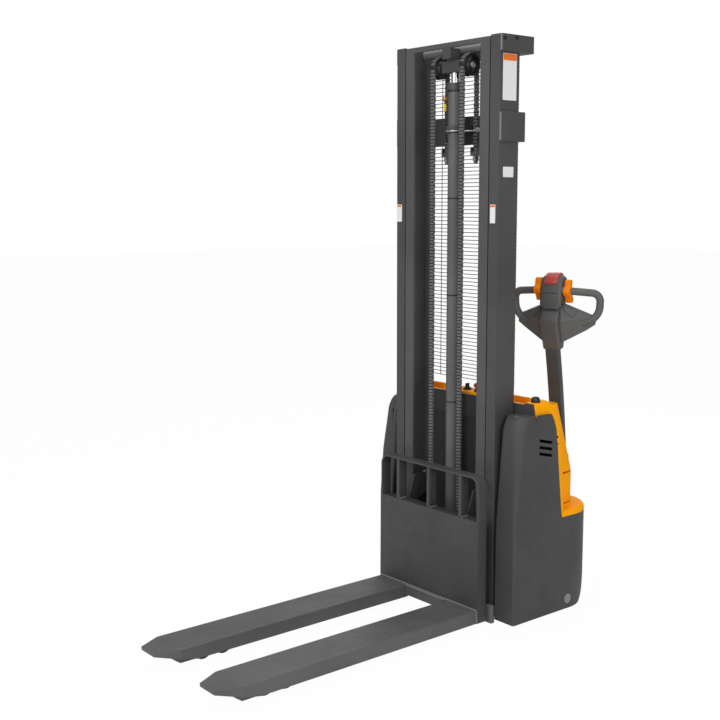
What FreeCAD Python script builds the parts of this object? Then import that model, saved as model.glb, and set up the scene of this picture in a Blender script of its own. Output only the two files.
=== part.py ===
"""Electric stacker: a walk-behind lift truck with a two-stage mast, forks over support legs,
an offset drive wheel steered by a long tiller, and a castor on the other side.

Millimetres. +Z is up, the forks point along -Y, and +X is the side of the drive wheel and tiller.
The origin is on the floor, under the middle of the box that the truck and its turned tiller fill.
"""
import FreeCAD, Part
import math
import os
import re

import Sketcher

Vector = FreeCAD.Vector
Rotation = FreeCAD.Rotation

os.makedirs("parts", exist_ok=True)
doc = FreeCAD.newDocument("electric_stacker")

# Driving sizes: name, value in millimetres or degrees, what it is
DRIVING = (
    ("fork_length", 1150, "fork heel to fork tip"),
    ("body_reach", 575, "fork heel to the rearmost face"),
    ("overall_width", 800, "over the side panels"),
    ("overall_height", 2240, "top of the outer mast, forks down"),
    ("forks_width", 560, "over both forks"),
    ("fork_width", 165, "one fork"),
    ("fork_top", 85, "top face of the lowered forks"),
    ("fork_lip", 34, "underside of the fork's side walls"),
    ("fork_plate", 6, "fork's top plate and side walls"),
    ("fork_slant", 155, "length of the slant under the tip"),
    ("fork_nose", 90, "length of the tapered tip in plan"),
    ("fork_nose_width", 88, "width at the very tip"),
    ("fork_tip_drop", 5, "fall of the top face at the tip"),
    ("fork_tip_thick", 12, "height of the tip's front edge"),
    ("leg_width", 120, "one support leg"),
    ("leg_top", 73, "top face of the legs"),
    ("leg_bottom", 26, "underside of the legs"),
    ("leg_plate", 8, "leg walls"),
    ("leg_setback", 70, "leg tip behind the fork tip"),
    ("load_roller", 37, "radius of the load rollers"),
    ("load_roller_width", 60, "width of the load rollers"),
    ("load_axle", 10, "radius of the load roller axles"),
    ("roller_setback", 140, "first roller axle behind the leg tip"),
    ("roller_pitch", 86, "from one load roller axle to the next"),
    ("running_gap", 0.1, "radial clearance of a wheel on its axle"),
    ("side_gap", 5.5, "clearance between parts that pass each other"),
    ("carriage_width", 566, "fork carriage plate"),
    ("carriage_sheet", 10, "thickness of the carriage plate"),
    ("carriage_depth", 46, "depth of the carriage's side returns"),
    ("carriage_top", 434, "top of the solid part of the carriage"),
    ("guard_top", 618, "top of the load guard"),
    ("guard_bar", 8, "thickness of the guard's bent bar"),
    ("guard_upright", 15, "thickness of the guard's upright bars"),
    ("guard_pitch", 180, "spacing of the guard's upright bars"),
    ("guard_corner", 38, "outer corner radius of the guard"),
    ("mast_gap", 84, "fork heel to the mast's front face"),
    ("mast_width", 564, "over the outer uprights"),
    ("mast_depth", 103, "uprights front to back"),
    ("mast_flange", 10, "flange thickness of the uprights"),
    ("mast_web", 9, "web thickness of the uprights"),
    ("flange_reach", 47, "width of an upright's flange"),
    ("mast_foot", 105, "underside of the uprights"),
    ("guide_roller_width", 30, "mast guide rollers"),
    ("rail_gap", 0.4, "clearance of a guide roller in its rail"),
    ("tie_wall", 8, "plate thickness of the mast ties"),
    ("top_tie_depth", 68, "top tie behind the uprights"),
    ("top_tie_height", 62, "top tie"),
    ("mid_tie_depth", 27, "middle tie behind the uprights"),
    ("mid_tie_height", 108, "middle tie"),
    ("mid_tie_drop", 275, "middle tie's top below the mast's top"),
    ("tie_reach", 97, "how far the ties wrap forward round the uprights"),
    ("mesh_wire", 3, "wires of the mesh guard"),
    ("mesh_step", 15, "spacing of the mesh guard's wires"),
    ("mesh_low", 930, "lowest wire of the mesh guard"),
    ("mesh_drop", 73, "mesh guard's top below the mast's top"),
    ("cylinder_radius", 28, "lift cylinder tube"),
    ("rod_radius", 17.5, "piston rod"),
    ("gland_drop", 62, "top of the cylinder's gland below the pulley axle"),
    ("gland_height", 26, "gland at the top of the cylinder"),
    ("pulley_radius", 42, "chain pulley over its flanges"),
    ("pulley_pitch", 38, "chain pulley to the middle of the chain"),
    ("pulley_spread", 80, "pulley to the truck's middle"),
    ("pulley_drop", 86, "pulley axle below the inner stage's top"),
    ("pulley_width", 30, "chain pulley over its flanges"),
    ("pulley_axle", 12, "radius of the pulley axle"),
    ("pulley_offset", 47, "pulley axle behind the mast's front face"),
    ("chain_width", 19, "leaf chain across its plates"),
    ("chain_depth", 12, "height of a chain plate"),
    ("chain_foot", 300, "where the chains join the carriage"),
    ("chain_pitch", 38.1, "spacing of the notches between chain plates"),
    ("chain_notch", 3, "depth of the notches between chain plates"),
    ("skirt_corner", 155, "radius of the rear corners in plan"),
    ("skirt_bottom", 40, "underside of the body panels"),
    ("skirt_top", 418, "top edge of the low rear body"),
    ("panel", 4, "thickness of the body panels"),
    ("skirt_tuck", 28, "how far the rear skirt tucks in at its foot"),
    ("skirt_tuck_height", 114, "height of the tucked stretch of the rear skirt"),
    ("wing_front", 76, "side panels' front face behind the fork heel"),
    ("wing_kink", 411, "height where the side panels start to lean back"),
    ("wing_lean", 22, "how far the front face leans back"),
    ("wing_shoulder", 45, "height of the sloped shoulder under the wing's top"),
    ("wing_nose", 25, "depth of the sloped shoulder"),
    ("wing_top", 847, "top of the side panels"),
    ("wing_joint", 191, "end of the wing's roof behind the fork heel"),
    ("wing_dip", 7, "fall of the wing's roof towards its end"),
    ("wing_fall", 10, "fall of the wing's top beside the hood"),
    ("wing_reach", 343, "fork heel to the wing's rear edge at the deck"),
    ("wing_round", 12, "rounding of the side panels' outer edges"),
    ("wing_corner", 16, "rounding of the wing's top corners, seen from the side"),
    ("vent_length", 78, "one vent slot"),
    ("vent_height", 10, "height of a vent slot"),
    ("vent_pitch", 27, "spacing of the vent slots"),
    ("vent_top", 758, "front end of the top vent slot"),
    ("vent_start", 243, "front end of the vent slots behind the fork heel"),
    ("vent_fall", 14, "degrees the vent slots slope down to the rear"),
    ("hood_top", 880, "top of the orange hood"),
    ("hood_wall", 4, "thickness of the hood"),
    ("hood_reach", 385, "fork heel to the hood's rear face at the deck"),
    ("hood_round", 14, "rounding of the hood's top edges"),
    ("hood_corner", 40, "hood's rear corners in plan"),
    ("bulge_top_radius", 41, "top of the hood's bulge round the steering axis"),
    ("dash_reach", 200, "fork heel to the hood's front face"),
    ("tray_depth", 24, "recesses in the hood's top"),
    ("tray_inner", 95, "recesses in the hood's top, inner ends from the truck's middle"),
    ("tray_outer", 330, "recesses in the hood's top, outer ends from the truck's middle"),
    ("tray_front", 208, "recesses' front behind the fork heel"),
    ("tray_back", 282, "recesses' back behind the fork heel"),
    ("tray_lip", 7, "fall of the lip in front of the recesses"),
    ("hood_narrow", 22, "how far the hood's sides lean in at its top"),
    ("deck_round", 13, "rounding of the deck's edge"),
    ("deck_height", 22, "height of the orange deck"),
    ("turret_radius", 100, "steering turret"),
    ("turret_foot", 453, "underside of the turret"),
    ("turret_top", 570, "top of the turret"),
    ("drive_wheel", 115, "radius of the drive wheel"),
    ("drive_wheel_width", 75, "tread width of the drive wheel"),
    ("castor_wheel", 70, "radius of the castor's wheels"),
    ("castor_trail", 40, "castor axle behind its swivel"),
    ("floor_plate", 245, "underside of the chassis plate"),
    ("plate", 10, "chassis plate thickness"),
    ("tiller_turn", 20, "degrees the tiller stands turned in the photograph"),
    ("tiller_lean", 12, "degrees the tiller leans towards the mast"),
    ("tiller_pivot", 590, "height of the tiller's tilt pin"),
    ("tiller_offset", 150, "tilt pin behind the steering axis"),
    ("arm_width", 58, "tiller arm across"),
    ("arm_depth", 30, "tiller arm front to back"),
    ("arm_bow", 7, "how far the arm bows back between its ends"),
    ("collar_height", 476, "tilt pin to the foot of the tiller head"),
    ("head_half", 37, "half the width of the tiller head's middle"),
    ("cap_half", 36, "half the width of the head's cap"),
    ("cap_round", 12, "rounding of the cap's side edges"),
    ("body_round", 10, "rounding of the head's front edges"),
    ("loop_bar", 15, "radius of the loops' bar"),
    ("throttle_radius", 44, "throttle wings from their axis to the tips"),
    ("throttle_width", 27, "one throttle wing along its axis"),
    ("throttle_level", 230, "throttle axis above the head's foot"),
    ("throttle_back", 33, "throttle axis behind the arm's middle"),
    ("throttle_hollow", 27, "radius of the thumb hollows in the throttle wings"),
    ("button_half", 22, "half the width of the red button"),
    ("button_round", 4, "rounding of the red button"),
)

# Sizes worked out from the driving ones
WORKED_OUT = (
    ("heel_y", "(fork_length - body_reach) / 2"),
    ("tip_y", "heel_y - fork_length"),
    ("rear_y", "heel_y + body_reach"),
    ("fork_x", "(forks_width - fork_width) / 2"),
    ("mast_y", "heel_y + mast_gap"),
    ("mast_back", "mast_y + mast_depth"),
    ("mast_mid", "mast_y + mast_depth / 2"),
    ("mast_half", "mast_width / 2"),
    ("inner_half", "mast_half - flange_reach - side_gap"),
    ("rail_radius", "mast_depth / 2 - mast_flange - rail_gap"),
    ("plate_half", "inner_half - flange_reach - side_gap"),
    ("pulley_y", "mast_y + pulley_offset"),
    ("side_x", "overall_width / 2"),
    ("steer_x", "side_x - skirt_corner"),
    ("steer_y", "rear_y - skirt_corner"),
    ("leg_tip", "tip_y + leg_setback"),
    ("inner_top", "overall_height - 4"),
    ("pulley_height", "inner_top - pulley_drop"),
    ("cylinder_top", "pulley_height - gland_drop"),
    ("mid_tie_bottom", "overall_height - mid_tie_drop - mid_tie_height"),
    ("floor_top", "floor_plate + plate"),
    ("deck_top", "skirt_top + deck_height"),
)

sheet = doc.addObject("Spreadsheet::Sheet", "Sizes")
NAMES = {row[0] for row in DRIVING} | {row[0] for row in WORKED_OUT}


def bound(expression):
    """Write an expression of size names the way the sheet's readers need it."""
    return re.sub(r"[a-z][a-z_]*", lambda word: "Sizes." + word.group(0)
                  if word.group(0) in NAMES else word.group(0), expression)


for row, (name, value, meaning) in enumerate(DRIVING, start=1):
    sheet.set("A%d" % row, str(value))
    sheet.setAlias("A%d" % row, name)
    sheet.set("B%d" % row, meaning)
for row, (name, formula) in enumerate(WORKED_OUT, start=len(DRIVING) + 1):
    sheet.set("A%d" % row, "=" + formula)
    sheet.setAlias("A%d" % row, name)
doc.recompute()


def size(name):
    """A size as a number, read from the sheet."""
    return float(getattr(sheet, name))


def bind(thing, **expressions):
    """Tie properties to the sheet; two underscores in a keyword stand for a dot."""
    for key, expression in expressions.items():
        thing.setExpression(key.replace("__", "."), bound(expression))


def put(thing, x="0", y="0", z="0"):
    """Place an object by three expressions."""
    bind(thing, Placement__Base__x=x, Placement__Base__y=y, Placement__Base__z=z)
    return thing


def block(name, spans):
    """A box between three pairs of expressions, low and high along X, Y and Z."""
    thing = doc.addObject("Part::Box", name)
    (x_low, x_high), (y_low, y_high), (z_low, z_high) = spans
    bind(thing, Length="(%s) - (%s)" % (x_high, x_low), Width="(%s) - (%s)" % (y_high, y_low),
         Height="(%s) - (%s)" % (z_high, z_low))
    return put(thing, x_low, y_low, z_low)


def round_bar(name, axis, radius, start, length):
    """A cylinder along X, Y or Z from a start point, all given by expressions."""
    thing = doc.addObject("Part::Cylinder", name)
    turns = {"x": Rotation(Vector(0, 1, 0), 90), "y": Rotation(Vector(1, 0, 0), -90), "z": Rotation()}
    thing.Placement = FreeCAD.Placement(Vector(), turns[axis])
    bind(thing, Radius=radius, Height=length)
    return put(thing, *start)


def joined(name, pieces):
    """One solid from several."""
    thing = doc.addObject("Part::MultiFuse", name)
    thing.Shapes = pieces
    thing.Refine = True
    return thing


def cut(name, base, tool):
    """One solid less another."""
    thing = doc.addObject("Part::Cut", name)
    thing.Base = base
    thing.Tool = tool
    return thing


def group(name, pieces):
    """Solids that share a node without touching."""
    thing = doc.addObject("Part::Compound", name)
    thing.Links = pieces
    return thing


def mirrored(name, source):
    """The same piece on the other side of the truck."""
    thing = doc.addObject("Part::Mirroring", name)
    thing.Source = source
    thing.Normal = Vector(1, 0, 0)
    return thing


def outline(body, plane, points, offset="0"):
    """A closed sketch of straight lines whose corners are pairs of expressions."""
    sketch = body.newObject("Sketcher::SketchObject", body.Name + "_outline")
    for feature in body.Origin.OriginFeatures:
        if feature.Role == plane:
            sketch.AttachmentSupport = [(feature, "")]
    sketch.MapMode = "FlatFace"
    bind(sketch, AttachmentOffset__Base__z=offset)
    count = len(points)
    for index in range(count):
        start = Vector(math.cos(index), math.sin(index), 0)
        end = Vector(math.cos(index + 1), math.sin(index + 1), 0)
        sketch.addGeometry(Part.LineSegment(start, end))
    for index in range(count):
        sketch.addConstraint(Sketcher.Constraint("Coincident", index, 2, (index + 1) % count, 1))
    for index, (across, up) in enumerate(points):
        for kind, expression in (("DistanceX", across), ("DistanceY", up)):
            row = sketch.addConstraint(Sketcher.Constraint(kind, index, 1, 1.0))
            sketch.setExpression("Constraints[%d]" % row, bound(expression))
    return sketch


def pad(name, plane, points, length, offset="0", both_ways=False, backwards=False):
    """A body with one pad of an outline."""
    body = doc.addObject("PartDesign::Body", name)
    add_pad(body, plane, points, length, offset, both_ways, backwards)
    return body


def add_pad(body, plane, points, length, offset="0", both_ways=False, backwards=False):
    """Grow a body by the pad of an outline."""
    feature = body.newObject("PartDesign::Pad", body.Name + "_pad")
    feature.Profile = outline(body, plane, points, offset)
    feature.Midplane = both_ways
    feature.Reversed = backwards
    bind(feature, Length=length)
    return feature


def add_pocket(body, plane, points, length, offset="0", both_ways=False, backwards=False):
    """Cut an outline out of a body."""
    feature = body.newObject("PartDesign::Pocket", body.Name + "_pocket")
    feature.Profile = outline(body, plane, points, offset)
    feature.Midplane = both_ways
    feature.Reversed = backwards
    bind(feature, Length=length)
    return feature


def solid(name, shape, place=None):
    """A piece whose shape is worked out here from the sheet's numbers."""
    thing = doc.addObject("Part::Feature", name)
    thing.Shape = shape
    if place is not None:
        thing.Placement = place
    return thing


def edges_where(shape, test):
    """Names of the edges whose middle passes a test."""
    names = []
    for number, edge in enumerate(shape.Edges, start=1):
        if test(edge, middle_of(edge)):
            names.append("Edge%d" % number)
    return names


def along(edge, direction):
    """True where a straight edge runs along a direction."""
    return (len(edge.Vertexes) == 2
            and abs(abs((edge.Vertexes[1].Point - edge.Vertexes[0].Point).normalize().dot(direction)) - 1) < 1e-6)


def rounded(body, radius, test):
    """Fillet the edges of a body's tip that pass a test."""
    tip = body.Tip
    fillet = body.newObject("PartDesign::Fillet", body.Name + "_fillet")
    fillet.Base = (tip, edges_where(tip.Shape, test))
    bind(fillet, Radius=radius)
    doc.recompute()
    return fillet


def middle_of(edge):
    """The point half way along an edge."""
    return edge.valueAt((edge.FirstParameter + edge.LastParameter) / 2)


def filleted(shape, radius, test):
    """A shape with the edges whose middle passes a test rounded."""
    return shape.makeFillet(radius, [edge for edge in shape.Edges if test(edge, middle_of(edge))])


def bevelled(shape, width, test):
    """A shape with flat bevels on the edges that pass a test of edge and middle."""
    return shape.makeChamfer(width, [edge for edge in shape.Edges if test(edge, middle_of(edge))])


def prism(points, start, run):
    """A closed polygon of points moved along a direction."""
    wire = Part.makePolygon([start + point for point in points + points[:1]])
    return Part.Face(wire).extrude(run)


# Forks: a top plate with two side walls, slanted underneath and tapered in plan at the tip
def fork(name, side):
    """One fork; side is -1 or 1."""
    half = "fork_width / 2"
    body = pad(name, "YZ_Plane",
               (("heel_y", "fork_lip"), ("heel_y", "fork_top"), ("tip_y + fork_nose", "fork_top"),
                ("tip_y", "fork_top - fork_tip_drop"),
                ("tip_y", "fork_top - fork_tip_drop - fork_tip_thick"),
                ("tip_y + fork_slant", "fork_lip")),
               "fork_width", both_ways=True)
    inside = "fork_width / 2 - fork_plate"
    nose_inside = "fork_nose_width / 2 - fork_plate"
    add_pocket(body, "XY_Plane",
               (("-(%s)" % inside, "heel_y"), (inside, "heel_y"), (inside, "tip_y + fork_nose"),
                (nose_inside, "tip_y + 2 * fork_plate"), ("-(%s)" % nose_inside, "tip_y + 2 * fork_plate"),
                ("-(%s)" % inside, "tip_y + fork_nose")),
               "fork_top - fork_tip_drop - fork_plate", backwards=True)
    for way in ("-", ""):
        add_pocket(body, "XY_Plane",
                   ((way + "fork_nose_width / 2", "tip_y - 1"), (way + "(%s + 1)" % half, "tip_y - 1"),
                    (way + "(%s + 1)" % half, "tip_y + fork_nose"), (way + half, "tip_y + fork_nose")),
                   "fork_top + 1", backwards=True)
    doc.recompute()
    rounded(body, "fork_plate - 1",
            lambda edge, middle: abs(middle.z - size("fork_top")) < 0.01 and abs(abs(middle.x) - size("fork_width") / 2) < 0.01
            and along(edge, Vector(0, 1, 0)))
    return put(body, "%s * fork_x" % side)


fork_left = fork("fork_left", "-1")
fork_right = fork("fork_right", "1")

# Fork carriage: front plate with side returns, notched over the legs, and two roller plates
notch_low = "fork_x - fork_width / 2 + fork_plate"
notch_high = "fork_x + fork_width / 2 - fork_plate"
half = "carriage_width / 2"
front_plate = pad("carriage_front", "XZ_Plane",
                  (("-" + half, "fork_lip"), ("-(%s)" % notch_high, "fork_lip"),
                   ("-(%s)" % notch_high, "fork_top - fork_plate"),
                   ("-(%s)" % notch_low, "fork_top - fork_plate"), ("-(%s)" % notch_low, "fork_lip + 11"),
                   (notch_low, "fork_lip + 11"), (notch_low, "fork_top - fork_plate"),
                   (notch_high, "fork_top - fork_plate"), (notch_high, "fork_lip"), (half, "fork_lip"),
                   (half, "carriage_top"), ("-" + half, "carriage_top")),
                  "carriage_sheet", offset="-heel_y", backwards=True)
carriage_returns = [
    block("return_" + side, ((x_low, x_high), ("heel_y + carriage_sheet", "heel_y + carriage_depth"),
                             ("fork_lip", "carriage_top")))
    for side, x_low, x_high in (("left", "-" + half, "-%s + guard_bar" % half),
                                ("right", half + " - guard_bar", half))]
carriage_ledge = block("carriage_ledge", (("-%s + guard_bar" % half, half + " - guard_bar"),
                                          ("heel_y + carriage_sheet", "heel_y + carriage_depth"),
                                          ("carriage_top - guard_bar", "carriage_top")))
roller_plates = []
for side, sign in (("left", "-1"), ("right", "1")):
    plate = pad("roller_plate_" + side, "YZ_Plane",
                (("heel_y + carriage_sheet", "110"), ("mast_back - 12", "110"), ("mast_back - 12", "190"),
                 ("mast_y + 20", "260"), ("mast_y + 20", "420"), ("mast_back - 12", "450"),
                 ("mast_back - 12", "525"), ("mast_y", "525"),
                 ("heel_y + carriage_depth + 4", "carriage_top - 10"),
                 ("heel_y + carriage_sheet", "carriage_top - 10")),
                "carriage_sheet", both_ways=True)
    roller_plates.append(put(plate, "%s * (plate_half - carriage_sheet / 2)" % sign))
chain_lugs = [
    block("chain_lug_" + side, (("%spulley_spread - 14" % sign, "%spulley_spread + 14" % sign),
                                ("heel_y + carriage_sheet", "pulley_y - pulley_pitch + 12"),
                                ("chain_foot - 24", "chain_foot")))
    for side, sign in (("left", "-"), ("right", ""))]
carriage_plate = joined("carriage_plate",
                        [front_plate, carriage_ledge] + carriage_returns + roller_plates + chain_lugs)

# Cross bar between the fork heels
heel_bar = block("heel_bar", (("-(fork_x - fork_width / 2)", "fork_x - fork_width / 2"),
                              ("heel_y - 12", "heel_y"), ("fork_lip + 11", "fork_top")))

# Load guard: a bent flat bar over the carriage with three upright bars
guard = pad("load_guard", "XZ_Plane",
            (("-" + half, "carriage_top"), (half, "carriage_top"), (half, "guard_top"),
             ("-" + half, "guard_top")),
            "carriage_depth", offset="-heel_y", backwards=True)
doc.recompute()


openings = (("-%s + guard_bar" % half, "-guard_pitch - guard_upright / 2"),
            ("-guard_pitch + guard_upright / 2", "-guard_upright / 2"),
            ("guard_upright / 2", "guard_pitch - guard_upright / 2"),
            ("guard_pitch + guard_upright / 2", half + " - guard_bar"))
for low, high in openings:
    add_pocket(guard, "XZ_Plane",
               ((low, "carriage_top - 1"), (high, "carriage_top - 1"), (high, "guard_top - guard_bar"),
                (low, "guard_top - guard_bar")),
               "carriage_depth + 2", offset="-heel_y + 1")
doc.recompute()
rounded(guard, "guard_corner - guard_bar",
        lambda edge, middle: along(edge, Vector(0, 1, 0))
        and abs(middle.z - size("guard_top") + size("guard_bar")) < 0.5
        and abs(abs(middle.x) - size("carriage_width") / 2 + size("guard_bar")) < 0.5)
rounded(guard, "guard_corner",
        lambda edge, middle: along(edge, Vector(0, 1, 0)) and middle.z > size("guard_top") - 1)

# Guide rollers of the carriage, in the inner uprights
carriage_roller_rows = (("low", "155"), ("high", "480"))
pieces = []
for side, sign in (("left", "-"), ("right", "")):
    for level, height in carriage_roller_rows:
        start = "-(plate_half + 6 + guide_roller_width)" if sign else "plate_half + 6"
        stub = "-(plate_half + 6)" if sign else "plate_half"
        roller = round_bar("carriage_roller_%s_%s" % (side, level), "x", "rail_radius",
                           (start, "mast_mid", height), "guide_roller_width")
        pin = round_bar("carriage_pin_%s_%s" % (side, level), "x", "15", (stub, "mast_mid", height), "6")
        pieces.append(joined("carriage_guide_%s_%s" % (side, level), [roller, pin]))
carriage_rollers = group("carriage_rollers", pieces)


# Uprights: channels that open towards the truck's middle
def upright(name, outer_face, low, high):
    """The right-hand upright of a stage, from its outer face inwards."""
    web = "%s - mast_web" % outer_face
    lip = "%s - flange_reach" % outer_face
    return pad(name, "XY_Plane",
               ((outer_face, "mast_y"), (outer_face, "mast_back"), (lip, "mast_back"),
                (lip, "mast_back - mast_flange"), (web, "mast_back - mast_flange"),
                (web, "mast_y + mast_flange"), (lip, "mast_y + mast_flange"), (lip, "mast_y")),
               "(%s) - (%s)" % (high, low), offset=low)


outer_right = upright("outer_upright_right", "mast_half", "mast_foot", "overall_height")
outer_left = mirrored("outer_upright_left", outer_right)


def rear_tie(name, low, high, depth):
    """A bent plate behind the uprights that wraps round their outer faces."""
    wrap = "mast_half + tie_wall"
    front = "mast_back - tie_reach"
    return pad(name, "XY_Plane",
               (("-(%s)" % wrap, front), ("-mast_half", front), ("-mast_half", "mast_back"),
                ("-mast_half + flange_reach", "mast_back"),
                ("-mast_half + flange_reach", "mast_back + %s - tie_wall" % depth),
                ("mast_half - flange_reach", "mast_back + %s - tie_wall" % depth),
                ("mast_half - flange_reach", "mast_back"), ("mast_half", "mast_back"),
                ("mast_half", front), (wrap, front),
                (wrap, "mast_back + " + depth), ("-(%s)" % wrap, "mast_back + " + depth)),
               "(%s) - (%s)" % (high, low), offset=low)


top_tie = rear_tie("top_tie", "overall_height - top_tie_height", "overall_height", "top_tie_depth")
mid_tie = rear_tie("mid_tie", "mid_tie_bottom", "mid_tie_bottom + mid_tie_height", "mid_tie_depth")
outer_mast = joined("outer_mast", [outer_right, outer_left, top_tie, mid_tie])

# Inner stage
inner_right = upright("inner_upright_right", "inner_half", "mast_foot + 8", "inner_top")
inner_left = mirrored("inner_upright_left", inner_right)
inner_beam = block("inner_top_beam", (("-inner_half + flange_reach", "inner_half - flange_reach"),
                                      ("mast_y", "mast_y + mast_flange"), ("inner_top - 20", "inner_top")))
inner_back_beam = block("inner_back_beam", (("-inner_half + flange_reach", "inner_half - flange_reach"),
                                            ("mast_back - mast_flange", "mast_back"),
                                            ("inner_top - 60", "inner_top")))
inner_foot_tie = block("inner_foot_tie", (("-inner_half + flange_reach", "inner_half - flange_reach"),
                                          ("mast_back - mast_flange", "mast_back"),
                                          ("mast_foot + 8", "mast_foot + 68")))
inner_mast = joined("inner_mast", [inner_right, inner_left, inner_beam, inner_back_beam, inner_foot_tie])

pieces = []
for side, sign in (("left", "-"), ("right", "")):
    start = "-(inner_half + 5 + guide_roller_width)" if sign else "inner_half + 5"
    stub = "-(inner_half + 5)" if sign else "inner_half"
    roller = round_bar("mast_roller_" + side, "x", "rail_radius", (start, "mast_mid", "170"),
                       "guide_roller_width")
    pin = round_bar("mast_pin_" + side, "x", "15", (stub, "mast_mid", "170"), "5")
    pieces.append(joined("mast_guide_" + side, [roller, pin]))
mast_rollers = group("mast_rollers", pieces)

# Lift cylinder, piston rod and crosshead
bore = "rod_radius + 1.5"
tube = round_bar("tube_outside", "z", "cylinder_radius", ("0", "mast_mid", "mast_foot"),
                 "cylinder_top - gland_height - mast_foot")
tube_bore = round_bar("tube_bore", "z", bore, ("0", "mast_mid", "mast_foot + 25"), "cylinder_top")
gland = round_bar("gland_outside", "z", "cylinder_radius + 3", ("0", "mast_mid", "cylinder_top - gland_height"),
                  "gland_height")
lift_cylinder = cut("lift_cylinder", joined("cylinder_outside", [tube, gland]), tube_bore)

head_low = "pulley_height - 22"
crosshead = joined("crosshead", [
    block("crosshead_plate", (("-50", "50"), ("mast_y + 24", "mast_y + 70"), (head_low, "pulley_height + 22"))),
    block("head_block", (("-22", "22"), ("mast_y + 24", "mast_mid + 22"),
                         ("pulley_height + 22", "inner_top - 20"))),
    block("head_seat", (("-22", "22"), ("mast_y + 70", "mast_mid + 22"), (head_low, "pulley_height + 22"))),
    block("head_tie", (("-22", "22"), ("mast_y + mast_flange", "mast_y + 24"), ("inner_top - 60", "inner_top - 20"))),
    block("head_strap", (("-22", "22"), ("mast_y", "mast_y + mast_flange"), ("inner_top - 60", "inner_top - 20"))),
    round_bar("pulley_shaft", "x", "pulley_axle",
              ("-pulley_spread - pulley_width / 2 - 1", "pulley_y", "pulley_height"),
              "2 * pulley_spread + pulley_width + 2"),
])
piston_rod = round_bar("piston_rod", "z", "rod_radius", ("0", "mast_mid", "mast_foot + 250"),
                       "pulley_height - 22 - mast_foot - 250")

# Chain pulleys, free on the crosshead's axle
pieces = []
for side, sign in (("left", "-"), ("right", "")):
    start = "%spulley_spread - pulley_width / 2" % sign
    rim = round_bar("pulley_rim_" + side, "x", "pulley_radius", (start, "pulley_y", "pulley_height"), "pulley_width")
    groove = round_bar("pulley_ring_" + side, "x", "pulley_radius + 1",
                       ("%spulley_spread - chain_width / 2 - 0.5" % sign, "pulley_y", "pulley_height"),
                       "chain_width + 1")
    core = round_bar("pulley_core_" + side, "x", "pulley_pitch - chain_depth / 2 - 0.3",
                     (start, "pulley_y", "pulley_height"), "pulley_width")
    ring = cut("pulley_channel_" + side, groove, core)
    wheel = cut("pulley_blank_" + side, rim, ring)
    hole = round_bar("pulley_hole_" + side, "x", "pulley_axle + running_gap",
                     (start + " - 1", "pulley_y", "pulley_height"), "pulley_width + 2")
    pieces.append(cut("pulley_" + side, wheel, hole))
chain_pulleys = group("chain_pulleys", pieces)


# Leaf chains: front runs to the carriage, the wrap over the pulleys, rear runs to the mast anchors
def chain_runs(name, y_smooth, y_notched, low, high):
    """The straight run on both pulleys, with a notch between plates along its outer face."""
    pitch, notch, width = size("chain_pitch"), size("chain_notch"), size("chain_width")
    count = int((high - low) / pitch)
    inward = notch if y_notched < y_smooth else -notch
    edge = [Vector(0, y_smooth, high), Vector(0, y_smooth, low)]
    for link in range(count):
        level = low + link * pitch
        edge += [Vector(0, y_notched, level), Vector(0, y_notched + inward, level + pitch / 2)]
    edge.append(Vector(0, y_notched, high))
    runs = [prism(edge, Vector(side * size("pulley_spread") - width / 2, 0, 0), Vector(width, 0, 0))
            for side in (-1, 1)]
    return solid(name, Part.makeCompound(runs))


doc.recompute()
rear_middle = "pulley_y + pulley_pitch"
front_outside = size("pulley_y") - size("pulley_pitch") - size("chain_depth") / 2
rear_outside = size("pulley_y") + size("pulley_pitch") + size("chain_depth") / 2
front_chains = chain_runs("front_chains", front_outside + size("chain_depth"), front_outside,
                          size("chain_foot"), size("pulley_height"))
rear_chains = chain_runs("rear_chains", rear_outside - size("chain_depth"), rear_outside,
                         size("mid_tie_bottom") - 30, size("pulley_height"))
pieces = []
for side, sign in (("left", "-"), ("right", "")):
    start = ("%spulley_spread - chain_width / 2" % sign, "pulley_y", "pulley_height")
    outside = round_bar("wrap_outside_" + side, "x", "pulley_pitch + chain_depth / 2", start, "chain_width")
    inside = round_bar("wrap_inside_" + side, "x", "pulley_pitch - chain_depth / 2",
                       ("%spulley_spread - chain_width / 2 - 1" % sign, "pulley_y", "pulley_height"),
                       "chain_width + 2")
    lower = block("wrap_lower_" + side,
                  (("%spulley_spread - chain_width" % sign, "%spulley_spread + chain_width" % sign),
                   ("pulley_y - 60", "pulley_y + 60"), ("pulley_height - 60", "pulley_height")))
    pieces.append(cut("wrap_" + side, cut("wrap_ring_" + side, outside, inside), lower))
chain_wraps = group("chain_wraps", pieces)

# Chain anchors: a threaded end and a block under the middle tie, on a bracket
pieces = []
for side, sign in (("left", "-"), ("right", "")):
    low, high = "%spulley_spread - 16" % sign, "%spulley_spread + 16" % sign
    bracket = block("anchor_bracket_" + side, ((low, high), ("mast_mid + 20", "mast_back + mid_tie_depth - tie_wall"),
                                               ("mid_tie_bottom - 42", "mid_tie_bottom - 30")))
    hanger = block("anchor_hanger_" + side, ((low, high), ("mast_back + mid_tie_depth - tie_wall - 10",
                                                           "mast_back + mid_tie_depth - tie_wall"),
                                             ("mid_tie_bottom - 30", "mid_tie_bottom + 40")))
    stem = round_bar("anchor_stem_" + side, "z", "8", ("%spulley_spread" % sign, rear_middle, "mid_tie_bottom - 75"),
                     "33")
    pieces.append(joined("anchor_" + side, [bracket, hanger, stem]))
chain_anchors = group("chain_anchors", pieces)

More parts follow.
